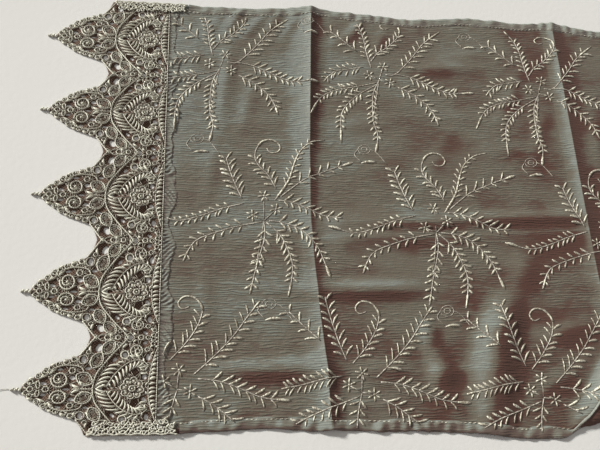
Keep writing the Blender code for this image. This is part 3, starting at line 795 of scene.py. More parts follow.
HEM_SCALLOP_REACH = 6.0
ROLLED_EDGE = 0.3               # share of a hem's width that shows where the edge is rolled under
ON_ROLL = 0.9                   # where that is, as a share of the way to the roll's crest
ROLLED_PAST = 14.0              # how far it goes on past the roll's ends
HEM_PAST_ROLL = 6.0
STITCH = 2.4
STITCH_SHARES = (0.3, 1.0, 0.3)
STITCH_PITCH = 3.3
STITCH_INSET = HEM - 1.2
STITCH_SIZE = (0.8, 0.34)
STITCH_BASE = 0.4
STITCH_SWAY = table(Wave, (0.25, 7.0))


def inward_from(column):
    return -1.0 if column == "far" else 1.0


def hem_share(s, start, end, fade):
    """1 along a hem, less near an end where it is rolled out of sight."""
    at_start = smooth((s - start) / HEM_FADE) if fade in ("start", "both") else 1.0
    at_end = smooth((end - s) / HEM_FADE) if fade in ("end", "both") else 1.0
    return np.minimum(at_start, at_end)


def hem_form(column, start, end, fade="", scale=1.0):
    """A narrow turned hem over the edge, a little uneven in width, with soft puckers.

    Where the near edge is rolled under, it follows the roll's crest.
    """
    s = np.linspace(start, end, round((end - start) / HEM_STEP))[:, None]
    across, up = np.array(HEM_SECTION).T
    edge = edge_y(column, s)
    if fade == "both":
        edge = edge + ON_ROLL * ROLL_CREST * roll_share(s)
    wide = scale * (HEM_LEAST + (1.0 - HEM_LEAST) * hem_share(s, start, end, fade))
    wide = wide * (1.0 + waves(HEM_WIDTHS, s))
    gather = waves(HEM_GATHERS, s) * (HEM_GATHERED + waves(HEM_CALM, s))
    scallop = HEM_SCALLOP * gather + waves(HEM_EDGE, s)
    outer = scallop * (1.0 - np.clip(across / HEM_SCALLOP_REACH, 0.0, 1.0))
    puffed = (across > HEM_PUFFED[0]) & (across < HEM_PUFFED[1])
    tilt = waves(HEM_TILT, s) * (HEM_MIDDLE - across / HEM)
    form = Form()
    height = up * (1.0 + HEM_PUFF * gather * puffed) + tilt * (up > 0.0)
    form.points = grid_points(s, edge + inward_from(column) * (across * wide - outer), height)
    form.faces = grid_faces(len(s), len(across), flip=column == "far")
    return form


def hem_lift(s, y):
    """The cloth's height, with points past an edge taking the edge's own."""
    return top_lift(s, np.clip(y, edge_y("near", s), edge_y("far", s)))


def stitch_row(form, column, start, end, fade):
    for s in np.arange(start, end - STITCH, STITCH_PITCH):
        inset = STITCH_INSET * hem_share(s, start, end, fade)
        y = edge_y(column, s + STITCH / 2) + inward_from(column) * inset + waves(STITCH_SWAY, s)
        leaf(form, (s, y), (s + STITCH, y), *STITCH_SIZE, base=STITCH_BASE, shares=STITCH_SHARES)


# Seam allowances

SIDE_STRIP_WIDTH = 9.5
LACE_EASE = (-173.0, -142.5, -107.5, -75.0, -36.0, -1.0, 35.5, 70.5, 105.0, 138.5, 175.5)
BAND_NEAR = LACE_EASE[0] + SIDE_STRIP_WIDTH + 0.5
BAND_FAR = LACE_EASE[-1] - SIDE_STRIP_WIDTH - 0.5
BAND_STATIONS = 640
BAND_ROWS = 9
BAND_FOOT = 0.15                # from the seam
BAND_LIP = (0.8, -0.1)          # how far past its edge it ends, and at what height
BAND_HALF = 0.46                # height of its middle, and how much more it has at the seam
BAND_FALL = 4.5
BAND_WIDTH = 6.2
BAND_CELL = 11.82               # the waves below are measured in cells
BAND_EDGE = table(
    Wave,
    (2.2, 1 / 1.4, 0, 0.9, 1 / 0.6), (0.88, 1 / 2.9, 1, 1, 1 / 0.8), (0.3, 1 / 7.3), (0.2, 1 / 17.1, 1),
)
BAND_LEAN = table(Wave, (0.78, 1 / 0.9, 0.0, 1.3, 1 / 0.37))
BAND_SWELL = table(Wave, (0.14, 1 / 1.1, 0.0, 2.0, 1 / 0.53))
BAND_STRAY = table(Wave, (2.4, 1 / 1.7))
BAND_CALM = table(Wave, (2.0, 1 / 0.8))
BAND_WRINKLE = 2.5
BAND_WRINKLE_HIGH = 0.40        # at the seam, and BAND_FLATTER less at the edge
BAND_FLATTER = 0.4
BAND_FINER = (0.7, 1.9, 9.0)    # finer wrinkles: size, how many to one, turn towards the edge
BAND_PATCHES = (0.6, 0.4, 2.9, 3.0)     # wrinkled patches: least, more, waves a cell, turn
BAND_SQUASH = 0.62


def band_width(y):
    return BAND_WIDTH + waves(BAND_EDGE, (y - BAND_NEAR) / BAND_CELL)


def band_form():
    """The seam allowance beside the lace: crumpled, with a loose uneven edge."""
    y = np.linspace(BAND_NEAR, BAND_FAR, BAND_STATIONS)[:, None]
    t = np.linspace(0.0, 1.0, BAND_ROWS + 1)
    cells = (y - BAND_NEAR) / BAND_CELL
    wide = band_width(y)
    drawn = (BAND_SQUASH * y - waves(BAND_LEAN, cells) * wide * t) * 2.0 * pi / BAND_WRINKLE
    size, times, turn = BAND_FINER
    wrinkle = np.sin(drawn + waves(BAND_STRAY, cells)) + size * np.sin(times * drawn + turn * t)
    least, more, times, turn = BAND_PATCHES
    wrinkle *= least + more * np.sin(times * cells + waves(BAND_CALM, cells) + turn * t)
    height = BAND_HALF * (1.0 + np.exp(-BAND_FALL * t)) + t * waves(BAND_SWELL, cells)
    height = height + BAND_WRINKLE_HIGH * wrinkle * (1.0 - BAND_FLATTER * t)
    s = LACE_DEPTH + BAND_FOOT + np.hstack([wide * t, wide + BAND_LIP[0]])
    form = Form()
    form.points = grid_points(s, y, np.hstack([height, np.full_like(y, BAND_LIP[1])]))
    form.faces = grid_faces(BAND_STATIONS, BAND_ROWS + 2, flip=True)
    return form


# Lace

TOOTH_AXES = [(k - (TEETH - 1) / 2) * REPEAT for k in range(TEETH)]
PICOT_HALF = 1.6
PICOT_ROOT = 6.6
NOTCH_S = 48.8
TOOTH_EDGE = (
    (7.4, 2.4), (9.6, 5.6), (13.2, 7.4), (16.6, 10.9), (20.8, 13.6), (25.2, 16.6),
    (29.9, 18.9), (34.8, 20.7), (39.8, 21.9), (43.6, 24.6), (46.2, 28.6), (47.8, 32.4),
)
TOOTH_OUTLINE = np.array(((0.0, 0.0), (PICOT_ROOT, PICOT_HALF), *TOOTH_EDGE, (NOTCH_S, REPEAT / 2))).T

# Gaps over 4 mm that the solid has, which stay open here. Those with v above 0 have a twin at -v.
LaceGap = namedtuple("LaceGap", "s v length width turn")
LACE_GAPS = table(
    LaceGap,
    (13.2, 3.9, 4.4, 2.2, 12), (21.2, 4, 4.8, 2.4, -8), (31, 13.2, 5, 2, 8), (35.6, 0, 6, 2, 0),
    (39.2, 7.6, 5, 3.4, 0), (45.6, 19.8, 4.2, 6, 0), (48.8, 13.9, 5, 2.4, 10), (55.2, 28, 5.2, 7.4, -34),
    (57, 0, 3.4, 4.4, 0), (65.8, 19.8, 4.4, 2.6, 48), (72.3, 22.9, 4.2, 4.2, 0), (85.6, 8, 3.8, 4.4, 0),
    (87.6, 21.4, 3.6, 5.6, 0), (85.2, 31.4, 4.2, 2.6, 30), (75, 35, 4.8, 4.8, 0),
)

# Rings of one repeat: centre, reach of the cord's middle line, the cord's width and height
LaceRing = namedtuple("LaceRing", "s v reach cord height")
LACE_RINGS = table(
    LaceRing,
    (12.9, 0, 1.9, 1.3, 1.9), (22.7, 0, 2, 1.3, 1.9), (17.5, 9.6, 1.2, 1.1, 1.8),
    (22.1, 12.6, 1.8, 1.3, 1.9), (39.5, 20, 1.9, 1.2, 1.9), (38.8, 12.3, 2, 1.2, 2),
    (45.4, 19.8, 3, 1, 1.8), (48.6, 24.8, 1.5, 1.1, 1.8), (72.3, 22.9, 2.7, 1.4, 2.1),
    (84.6, 14.2, 1.9, 1.1, 1.8), (68.2, 30.2, 1.4, 1.1, 1.8), (86.8, 26.6, 1.5, 1.1, 1.7),
    (60.3, 35, 2, 1.2, 1.9), (67.2, 35, 1.6, 1.3, 2), (82.4, 35, 1.8, 1.2, 1.9), (87.2, 35, 1.5, 1.1, 1.8),
)

# A ring with a smaller one in it, and petals from one to the other
ROSETTE = LaceRing(79.8, 25.6, 3.9, 1.2, 2.0)
ROSETTE_EYE = LaceRing(80.5, 25.3, 1.638, 1.3, 2.0)
ROSETTE_PETALS = 7
ROSETTE_START = 0.4
ROSETTE_REACHES = (1.95, 3.588)
ROSETTE_PETAL = (0.8, 0.1, 1.4)             # width, bend, height

# A scroll in each half of a tooth: centre, outer and inner reach, turns and the way that it starts
SCROLL = (30.9, 6.4)
SCROLL_OUTER = 5.2
SCROLL_INNER = 1.5
SCROLL_TURNS = 1.45
SCROLL_START = 165
SCROLL_STEPS = 30
SCROLL_TIGHTENS = 2.2
SCROLL_CORD = (1.55, 2.2)
SCROLL_KNOB = (1.0, 1.9)

# Leaves of one repeat, from foot to tip
LaceLeaf = namedtuple("LaceLeaf", "s v s_tip v_tip width bend")
LACE_LEAVES = table(
    LaceLeaf,
    (17.6, 6.6, 23.6, 8.8, 1.6, 0.10), (24.8, 9.4, 29.4, 13.4, 1.7, 0.16), (8.6, 1.6, 10.4, 4.6, 1.6, 0.2),
    (10.9, 5.9, 15.9, 6.4, 1.7, 0.25), (24.6, 15, 28.6, 17, 1.9, 0.1), (29.6, 17.2, 31.2, 17.4, 1.9, 0),
    (32.2, 17.6, 36.6, 19.4, 2.2, 0.1), (44.6, 0.9, 38.4, 3.8, 2, 0.12), (45.6, 1.4, 42.6, 5.4, 1.8, -0.15),
    (33.6, 2, 37.4, 4.2, 1.3, 0.1), (41.6, 16.9, 42.2, 21.6, 1.5, 0.1), (48.6, 17.2, 50.4, 21.6, 1.8, -0.2),
    (50.6, 24.6, 49.4, 29.6, 1.9, 0.15), (57.6, 2.9, 61.6, 0.9, 1.5, 0.1), (61.2, 32, 64.6, 34.2, 1.7, 0.1),
    (86.2, 11.6, 88.6, 15.4, 1.4, 0.2), (82.6, 10.6, 88.4, 10.8, 1.4, -0.1),
    (70.2, 27.2, 74.6, 30.6, 1.7, 0.1), (84.2, 20.8, 84.8, 17.2, 1.4, 0.1),
    (77.2, 31.2, 80.2, 33.6, 1.5, 0.1), (86.4, 1.6, 88.8, 4.8, 1.3, 0.1), (88.4, 28, 91.6, 29.4, 1.3, 0.1),
    (88.8, 33.4, 90.6, 31.8, 1.2, 0.1), (89, 23.4, 91.6, 25.6, 1.3, -0.1),
)

# Cords of one repeat
LaceCord = namedtuple("LaceCord", "width height route")
LACE_CORDS = table(
    LaceCord,
    (1.35, 2, ((52.4, 0), (53.2, 6.5), (55.2, 11.5), (59.6, 17.6), (64.6, 24), (69.6, 29.4), (72.8, 33.4),
     (74.6, 36.6))),
    (1.5, 1.9, ((42.8, 22.6), (46.6, 27.6), (49.9, 32.2), (53.4, 36.4))),
    (1.3, 2, ((24.4, 9.6), (26.6, 13.6), (31, 15.4), (36, 16), (41, 15.6), (44.6, 14.4), (46.4, 11.6))),
    (1, 1.9, ((61.4, 1.6), (63.2, 5), (65.6, 9), (68.8, 12.8), (72.6, 16.2), (77, 18.6), (81.4, 19.4),
     (85.2, 18.2), (88.2, 15.2))),
    (1, 1.8, ((71.6, 35), (75, 31.6), (78.4, 35))), (1, 1.6, ((52.6, 36.2), (56.2, 32.8), (59.4, 32.6))),
)
ARCH = LACE_CORDS[0].route
RIB = LACE_CORDS[3].route
AXIS_STEM = LaceCord(1.1, 1.7, ((39.4, 0.0), (52.4, 0.0)))

# Pointed petals of one repeat, with fine threads along and across them
NetPetal = namedtuple("NetPetal", "s v half_length half_width turn")
NET_PETALS = table(
    NetPetal,
    (46.9, 6.7, 5.9, 4.3, -28), (54.2, 19.2, 5.9, 4.0, 62), (61.4, 28.0, 5.8, 3.9, 50),
)
PETAL_SIZES = ((1.0, 1.35, 2.1), (0.72, 0.75, 1.5))
PETAL_STEPS = 18
PETAL_POINTED = 0.6
PETAL_RIBS = (-0.216, 0.0, 0.216)
PETAL_RIB_END = 0.62
PETAL_BARS = (-0.22, 0.24)
PETAL_BAR_END = 0.42
PETAL_THREAD = (0.4, 0.3, 0.4)  # width, height, base

# The leaves along the wreath's rib, outside it and inside: how many, where they start and end on it,
# their turn from it, their length before WREATH_NARROWS and past it, the least length, width and bend
WreathRow = namedtuple("WreathRow", "count start end turn long short least width bend")
WREATH_ROWS = table(
    WreathRow,
    (10, 0.02, 0.8, 140, 10.6, 6.6, 3.0, 1.6, -0.12),
    (11, 0.06, 0.97, -122, 7.4, 7.4, 2.4, 1.5, 0.16),
)
WREATH_NARROWS = 72.0
WREATH_STEP = 0.4
WREATH_HIGH = 2.1
ARCH_CLEAR = 0.5
AXIS_CLEAR = 0.7
FLOWER_CLEAR = 2.6

# The flower: its middle, its scalloped outline, and the leaves and knobs in it
FLOWER = (77.9, 0.0)
FLOWER_PETALS = 8
FLOWER_REACH = 5.9
FLOWER_SCALLOP = 1.9
FLOWER_LOBE = 0.6               # the less, the fuller its lobes
FLOWER_START = 0.3
FLOWER_STEPS = 8                # points to a petal
FLOWER_CORD = (1.2, 2.0)
FLOWER_EYE = (2.0, 1.4, 2.4)    # reach, width and height
FLOWER_MIDDLE = (0.8, 1.8)
FLOWER_LEAF = (1.0, 0.1, 1.7)   # width, bend and height
FLOWER_LEAF_FROM = 3.0
FLOWER_KNOB = (1.6, 1.0)
FLOWER_KNOB_IN = 0.6

# The chain of rings and knobs along a tooth's side
EDGE_START = (8.2, 2.6)
EDGE_RINGS = 8
EDGE_ENDS = (0.02, 0.98)        # shares of the side that they start and end at
EDGE_REACH = 1.75
EDGE_UNEVEN = 0.16
EDGE_CORD = (1.1, 1.9)
EDGE_KNOB = (0.8, 1.6)
EDGE_KNOB_AT = (2.0, 3.8)       # how far on from its ring's place, and how far in

# The straight rail beside the seam, and the arched one that is joined to it
SEAM_RAIL = 93.9
ARCHED_RAIL = ((93.2, -24.0), (91.0, -17.0), (88.9, -8.0), (88.3, 0.0), (88.7, 8.0), (89.9, 15.0),
               (91.5, 21.0), (93.4, 27.0))
RAIL_CORD = (0.95, 1.7)
RAIL_BARS = 14
RAIL_BAR_ENDS = (0.1, 0.9)      # shares of the arched rail that they start and end at
RAIL_BAR_WIDTH = 1.9
RAIL_BAR_UNEVEN = 0.35
RAIL_BAR_LEAN = (0.6, 0.9)      # how far back it starts, and how far on it ends
RAIL_BAR_BEND = 0.08
RAIL_SWAY = 0.4                 # how far bars and rings stray from even places
RAIL_FILLING = (-33.4, -29.6, 30.6, 34.0)
RAIL_RING_S = 90.8
RAIL_RING = (1.35, 1.05, 1.7)
RAIL_KNOB_S = 92.9
RAIL_KNOB_BACK = 1.9            # from its ring
RAIL_KNOB = (0.8, 1.4)
STRAIGHT_RAIL_CORD = (1.1, 1.4)
CORD_SLIM = 0.9                 # share of its width in the tables that a cord gets

# Thin bars between neighbouring forms
LINK_SHORTEST = 2.4
LINK_LONGEST = 5.4
LINK_PLACES = (0.2, 0.35, 0.5, 0.65, 0.8)   # where a link is looked at for gaps
LINK_INSET = 0.8
LINK_THREAD = (0.55, 0.55, 0.35)

# The border's side edges
SIDE_CORD = (1.2, 1.3)
SIDE_CORD_PLACES = 21
SIDE_CORD_PAST = (1.2, 0.1)     # from the notch, and past the rail
LACE_SIDE = TEETH * REPEAT / 2
LACE_SIDE_CLEAR = 0.6           # how far inside its side edge the border's forms end
STRIP_NEAR = 13.0               # nearer than this to the side edge the lace lies lower
STRIP_EASE = 4.0
STRIP_LOWERS = 0.62


def lace_y(w):
    """Where the lace's own width comes on the end of the cloth."""
    return np.interp(w, np.linspace(-LACE_SIDE, LACE_SIDE, len(LACE_EASE)), LACE_EASE)


def in_gap(s, v, size=1.0):
    for gap in LACE_GAPS:
        along, across = turned(s - gap.s, abs(v) - gap.v, gap.turn)
        if (along / gap.length) ** 2 + (across / gap.width) ** 2 < 0.25 * size * size:
            return True
    return False


def tooth_limit(s):
    """Half the width of a tooth at s."""
    return np.interp(s, *TOOTH_OUTLINE)


def flipped(route, mirror):
    return [(s, v * mirror) for s, v in route]


class Repeat:
    """One repeat of the border. It draws in s and v, and keeps a list of places to link."""

    def __init__(self, form, axis):
        self.form = form
        self.axis = axis
        self.anchors = []

    def inside(self, route):
        return all(abs(self.axis + v) < LACE_SIDE - LACE_SIDE_CLEAR for s, v in route)

    def to_border(self, route):
        return [(s, self.axis + v) for s, v in route]

    def cord(self, route, width, height, closed=False):
        kept = [p for p in route if self.inside([p])]
        if len(kept) < 2 or (closed and len(kept) < len(route)):
            return
        places, shares = beaded(self.to_border(kept), closed)
        cord(self.form, places, CORD_SLIM * width, height, closed, shares=shares)
        self.anchors += kept[::3] if closed else kept[::2]

    def leaf(self, start, end, width, bend, height=1.9):
        if self.inside([start, end]):
            leaf(self.form, *self.to_border([start, end]), width, height, bend)
            self.anchors += [start, end]

    def ring(self, s, v, reach, width, height, sides=12):
        self.cord(loop_points(s, v, reach, reach, sides=sides), width, height, closed=True)

    def knob(self, s, v, reach, height):
        knob(self.form, s, self.axis + v, reach, height)

    def links(self):
        """Thin bars between neighbouring forms, left out where the lace is open."""
        places = {(round(s, 1), round(v, 1)) for s, v in self.anchors}
        net = delaunay_2d_cdt([Vector(p) for p in sorted(places)], [], [], 0, 1e-3, False)
        for pair in net[1]:
            ends = [tuple(net[0][i]) for i in pair]
            ways = [between(*ends, t) for t in LINK_PLACES]
            if not LINK_SHORTEST < dist(*ends) < LINK_LONGEST or any(in_gap(*p) for p in ways):
                continue
            if any(abs(v) > tooth_limit(s) - LINK_INSET for s, v in ways if s < NOTCH_S):
                continue
            thread(self.form, self.to_border(ends), *LINK_THREAD)


def draw_net_petal(repeat, petal, mirror):
    turn = radians(petal.turn * mirror)
    angles = [2.0 * pi * k / PETAL_STEPS for k in range(PETAL_STEPS)]

    def place(along, across):
        along *= petal.half_length
        across *= petal.half_width
        return place_at(petal.s, petal.v * mirror, along, across, turn)

    for size, width, height in PETAL_SIZES:
        outline = [place(size * cos(a), size * sin(a) * abs(sin(a)) ** PETAL_POINTED) for a in angles]
        repeat.cord(outline, width, height, closed=True)
    threads = [(place(-PETAL_RIB_END, across), place(PETAL_RIB_END, across)) for across in PETAL_RIBS]
    threads += [(place(along, -PETAL_BAR_END), place(along, PETAL_BAR_END)) for along in PETAL_BARS]
    for ends in threads:
        if repeat.inside(ends):
            thread(repeat.form, repeat.to_border(ends), *PETAL_THREAD)


def draw_rosette(repeat, mirror):
    centre, eye = flipped([ROSETTE[:2], ROSETTE_EYE[:2]], mirror)
    repeat.ring(*centre, *ROSETTE[2:], 16)
    if not repeat.inside([(centre[0], centre[1] + way * ROSETTE.reach) for way in (1, -1)]):
        return
    repeat.ring(*eye, *ROSETTE_EYE[2:], 10)
    for k in range(ROSETTE_PETALS):
        angle = 2.0 * pi * k / ROSETTE_PETALS + ROSETTE_START
        inner, outer = (from_point(p, angle, reach) for p, reach in zip((eye, centre), ROSETTE_REACHES))
        repeat.leaf(inner, outer, *ROSETTE_PETAL)


def draw_scroll(repeat, mirror):
    centre = (SCROLL[0], SCROLL[1] * mirror)
    route = []
    for k in range(SCROLL_STEPS + 1):
        t = k / SCROLL_STEPS
        angle = radians(SCROLL_START + 360.0 * SCROLL_TURNS * t) * mirror
        reach = SCROLL_OUTER + (SCROLL_INNER - SCROLL_OUTER) * t ** SCROLL_TIGHTENS
        route.append(from_point(centre, angle, reach))
    repeat.cord(route, *SCROLL_CORD)
    repeat.knob(*centre, *SCROLL_KNOB)


def draw_tooth_edge(repeat, mirror):
    """The chain of small rings along a tooth's side, with knobs in the corners between them."""
    side = smooth_route([EDGE_START, *TOOTH_EDGE[1:9]], 4)
    for k, (place, direction) in enumerate(along_route(side, EDGE_RINGS, *EDGE_ENDS)):
        reach = EDGE_REACH * (1.0 + EDGE_UNEVEN * sin(2.4 * k + 0.8))
        s, v = from_point(place, direction - pi / 2, reach + 0.5)
        repeat.ring(s, v * mirror, reach, *EDGE_CORD)
        s, v = place_at(*place, EDGE_KNOB_AT[0], -EDGE_KNOB_AT[1], direction)
        repeat.knob(s, v * mirror, *EDGE_KNOB)


def past_arch(place):
    """Whether a place is on the arch's cord or beyond it."""
    return place[0] < np.interp(abs(place[1]), [v for s, v in ARCH], [s for s, v in ARCH]) + ARCH_CLEAR


def past_middle(place):
    """Whether a place is at the flower or the repeat's axis."""
    return place[1] < AXIS_CLEAR or dist(place, FLOWER) < FLOWER_REACH + FLOWER_CLEAR


def draw_wreath(repeat, mirror):
    """Leaves on both sides of the wreath's rib: outer ones towards the arch, inner ones to the flower."""
    rib = smooth_route(RIB, 4)
    for row, past in zip(WREATH_ROWS, (past_arch, past_middle)):
        for foot, direction in along_route(rib, row.count, row.start, row.end):
            angle = direction + radians(row.turn)
            length = row.long if foot[0] < WREATH_NARROWS else row.short
            while past(from_point(foot, angle, length)) and length > row.least:
                length -= WREATH_STEP
            ends = flipped([foot, from_point(foot, angle, length)], mirror)
            repeat.leaf(*ends, row.width, row.bend * mirror, WREATH_HIGH)


def draw_flower(repeat):
    """A scalloped outline round a ring, with small leaves and knobs between them."""
    repeat.ring(*FLOWER, *FLOWER_EYE)
    repeat.knob(*FLOWER, *FLOWER_MIDDLE)

    def place(petal, reach):
        return from_point(FLOWER, 2.0 * pi * (petal + FLOWER_START) / FLOWER_PETALS, reach)

    outline = []
    for k in range(FLOWER_PETALS * FLOWER_STEPS):
        lobe = abs(sin(pi * k / FLOWER_STEPS)) ** FLOWER_LOBE
        outline.append(place(k / FLOWER_STEPS, FLOWER_REACH + FLOWER_SCALLOP * lobe))
    repeat.cord(outline, *FLOWER_CORD, closed=True)
    for k in range(FLOWER_PETALS):
        repeat.leaf(place(k, FLOWER_LEAF_FROM), place(k, FLOWER_REACH), *FLOWER_LEAF)
        repeat.knob(*place(k + 0.5, FLOWER_REACH - FLOWER_KNOB_IN), *FLOWER_KNOB)


PICOT_LUMPS = 5
PICOT_LUMP_START = 0.9
PICOT_LUMP_PITCH = 1.4
PICOT_LUMP_SWAY = 0.4
PICOT_LUMP_REACH = (0.75, 0.13)     # of the first, and how much more each has than the last
PICOT_LUMP_HIGH = 2.2
PICOT_TWIST_START = 0.6
PICOT_TWIST_STEPS = 15
PICOT_TWIST_STEP = 0.5
PICOT_TWIST_TURN = 1.15         # in a step
PICOT_TWIST_HALF = 0.72
PICOT_TWIST_CORD = (0.7, 1.5)
PICOT_LOOP = (17.7, 3.1, 1.25, 2.6)         # centre, half its length and half its width
PICOT_LOOP_TURN = 0.12
PICOT_LOOP_CORD = (1.25, 2.0)


def draw_picot(repeat):
    """Threads twisted into a row of lumps, and past the first ring a loop on each side of the axis."""
    for k in range(PICOT_LUMPS):
        s = PICOT_LUMP_START + PICOT_LUMP_PITCH * k
        sway = PICOT_LUMP_SWAY if k % 2 else -PICOT_LUMP_SWAY
        repeat.knob(s, sway, PICOT_LUMP_REACH[0] + PICOT_LUMP_REACH[1] * k, PICOT_LUMP_HIGH)
    for mirror in (1, -1):
        route = []
        for k in range(PICOT_TWIST_STEPS):
            half = PICOT_TWIST_HALF * min(1.0, 0.3 + k / 5)
            s = PICOT_TWIST_START + PICOT_TWIST_STEP * k
            route.append((s, half * mirror * cos(PICOT_TWIST_TURN * k)))
        cord(repeat.form, repeat.to_border(route), *PICOT_TWIST_CORD)
        s, v, half_length, half_width = PICOT_LOOP
        loop = loop_points(s, v * mirror, half_length, half_width, PICOT_LOOP_TURN * mirror)
        repeat.cord(loop, *PICOT_LOOP_CORD, closed=True)


def draw_rail(repeat):
    """The arched rail beside the seam's straight one, and the bars between them."""
    route = smooth_route(ARCHED_RAIL, 4)
    repeat.cord(route, *RAIL_CORD)
    for k, ((s, v), direction) in enumerate(along_route(route, RAIL_BARS, *RAIL_BAR_ENDS)):
        thick = RAIL_BAR_WIDTH + RAIL_BAR_UNEVEN * sin(2.1 * k + 0.2 * repeat.axis)
        tip = (SEAM_RAIL, v + RAIL_BAR_LEAN[1] + RAIL_SWAY * sin(1.7 * k))
        repeat.leaf((s - 0.2, v - RAIL_BAR_LEAN[0]), tip, thick, RAIL_BAR_BEND)
    for k, v in enumerate(RAIL_FILLING):
        repeat.ring(RAIL_RING_S + RAIL_SWAY * sin(2.0 * k), v, *RAIL_RING, 10)
        repeat.knob(RAIL_KNOB_S, v - RAIL_KNOB_BACK, *RAIL_KNOB)


def draw_side(repeat, mirror):
    """Half of a repeat. The rings on its two edges are drawn with the first half only."""
    draw_tooth_edge(repeat, mirror)
    for item in LACE_CORDS:
        repeat.cord(smooth_route(flipped(item.route, mirror), 3), item.width, item.height)
    for item in LACE_RINGS:
        if mirror == 1 or item.v not in (0.0, REPEAT / 2):
            repeat.ring(item.s, item.v * mirror, *item[2:])
    draw_rosette(repeat, mirror)
    draw_scroll(repeat, mirror)
    for item in LACE_LEAVES:
        repeat.leaf(*flipped([item[:2], item[2:4]], mirror), item.width, item.bend * mirror)
    for petal in NET_PETALS:
        draw_net_petal(repeat, petal, mirror)
    draw_wreath(repeat, mirror)


def lace_form():
    form = Form()
    for axis in TOOTH_AXES:
        repeat = Repeat(form, axis)
        draw_picot(repeat)
        draw_flower(repeat)
        repeat.cord(AXIS_STEM.route, *AXIS_STEM[:2])
        draw_side(repeat, 1)
        draw_side(repeat, -1)
        draw_rail(repeat)
        repeat.links()
    side = LACE_SIDE - LACE_SIDE_CLEAR
    places, shares = beaded([(SEAM_RAIL, -side), (SEAM_RAIL, side)])
    cord(form, places, *STRAIGHT_RAIL_CORD, shares=shares)
    stations = np.linspace(NOTCH_S + SIDE_CORD_PAST[0], SEAM_RAIL + SIDE_CORD_PAST[1], SIDE_CORD_PLACES)
    for end in (-1, 1):
        cord(form, [(s, end * side) for s in stations], *SIDE_CORD)
    points = np.array(form.points)
    inside = (LACE_SIDE - np.abs(points[:, 1]) - STRIP_NEAR) / STRIP_EASE
    points[:, 2] *= STRIP_LOWERS + (1.0 - STRIP_LOWERS) * smooth(inside + 1.0)
    points[:, 1] = lace_y(points[:, 1])
    form.points = points.tolist()
    return form


GROUND_LOW = 0.1
GROUND_HIGH = 0.45
GROUND_START = PICOT_ROOT + 1.0
GROUND_INSET = 0.9              # from the tooth's edge, under its rim
GROUND_SIDE = LACE_SIDE - GROUND_INSET
GROUND_GAP = 0.85               # share of a gap's size that stays open in the ground


def on_ground(s, w):
    """Whether the border has ground at s and w."""
    v = (w + REPEAT / 2) % REPEAT - REPEAT / 2
    if s < GROUND_START or abs(w) > GROUND_SIDE or in_gap(s, v, GROUND_GAP):
        return False
    return s > NOTCH_S or abs(v) < tooth_limit(s) - GROUND_INSET


def ground_chains():
    """Lines in s and w that the ground's triangles follow: its outline and its gaps'."""
    chains = [[(LACE_DEPTH, -GROUND_SIDE), (LACE_DEPTH, GROUND_SIDE)]]
    edge = [(s, v - GROUND_INSET) for s, v in TOOTH_EDGE if v > GROUND_INSET]
    for axis in TOOTH_AXES:
        for mirror in (1, -1):
            shared = abs(axis + mirror * REPEAT / 2) < GROUND_SIDE
            corner = (NOTCH_S, REPEAT / 2 - (0.0 if shared else GROUND_INSET))
            ways = flipped([(GROUND_START, 0.0), *edge, corner], mirror)
            chains.append([(s, axis + v) for s, v in ways])
        for gap in LACE_GAPS:
            half_sizes = [size * GROUND_GAP / 2 for size in (gap.length, gap.width)]
            for mirror in (1, -1) if gap.v > 0 else (1,):
                turn = radians(gap.turn * mirror)
                loop = loop_points(gap.s, axis + gap.v * mirror, *half_sizes, turn, 10)
                if all(abs(w) < GROUND_SIDE for s, w in loop):
                    chains.append(loop + loop[:1])
    return chains


def ground_form():
    """A thin close ground under the cords, which carries painted shade, with the larger gaps open."""
    points = []
    edges = []
    for chain in ground_chains():
        edges += [(len(points) + k, len(points) + k + 1) for k in range(len(chain) - 1)]
        points += chain
    net = delaunay_2d_cdt([Vector(p) for p in points], edges, [], 0, 1e-4, False)
    flat = [tuple(p) for p in net[0]]
    kept = [face for face in net[2] if on_ground(*(sum(flat[i][axis] for i in face) / 3 for axis in (0, 1)))]
    form = Form()
    form.points = [(s, lace_y(w), height) for height in (GROUND_HIGH, GROUND_LOW) for s, w in flat]
    form.faces = slab_faces(kept, len(flat))
    return form


SIDE_STRIP_START = 49.5
SIDE_STRIP_END = 109.0
SIDE_STRIP_FOOT = 1.4
SIDE_STRIP_INSET = 0.6
SIDE_EDGE_CORD = (1.3, 1.1)
SIDE_EDGE_PITCH = 1.45
SIDE_EDGE_STEPS = 41
SIDE_EDGE_AT = 0.02             # share of the strip's width
SIDE_EDGE_SWAY = (0.4, 1.6)     # its size, and the length of one radian
SIDE_ROWS = (0.2, 0.5, 0.82)    # where its rows of rings are, as shares of its width
SIDE_ROW_FROM = 2.6
SIDE_ROW_SHIFT = 1.3            # how much later each row starts
SIDE_ROW_END = 2.4
SIDE_RING_PITCH = 3.5
SIDE_PITCHES = (0.9, 1.12)      # shares of that between which it is drawn
SIDE_RING_STRAY = 0.07
SIDE_RING_LENGTHS = (1.0, 1.6)
SIDE_RING_WIDTHS = (0.8, 1.2)
SIDE_RING_HEIGHTS = (0.75, 1.25)
SIDE_RING_SIDES = 10
SIDE_RING_CORD = 1.1
SIDE_KNOB = (0.85, 1.2)
SIDE_KNOB_STRAY = 0.12
SIDE_LEAF = (1.3, 1.1, 0.1)     # width, height, bend
SIDE_LEAF_HALF = 0.9
SIDE_LEAF_ENDS = (-0.1, 0.12)   # how far its ends are from the row's middle, as shares


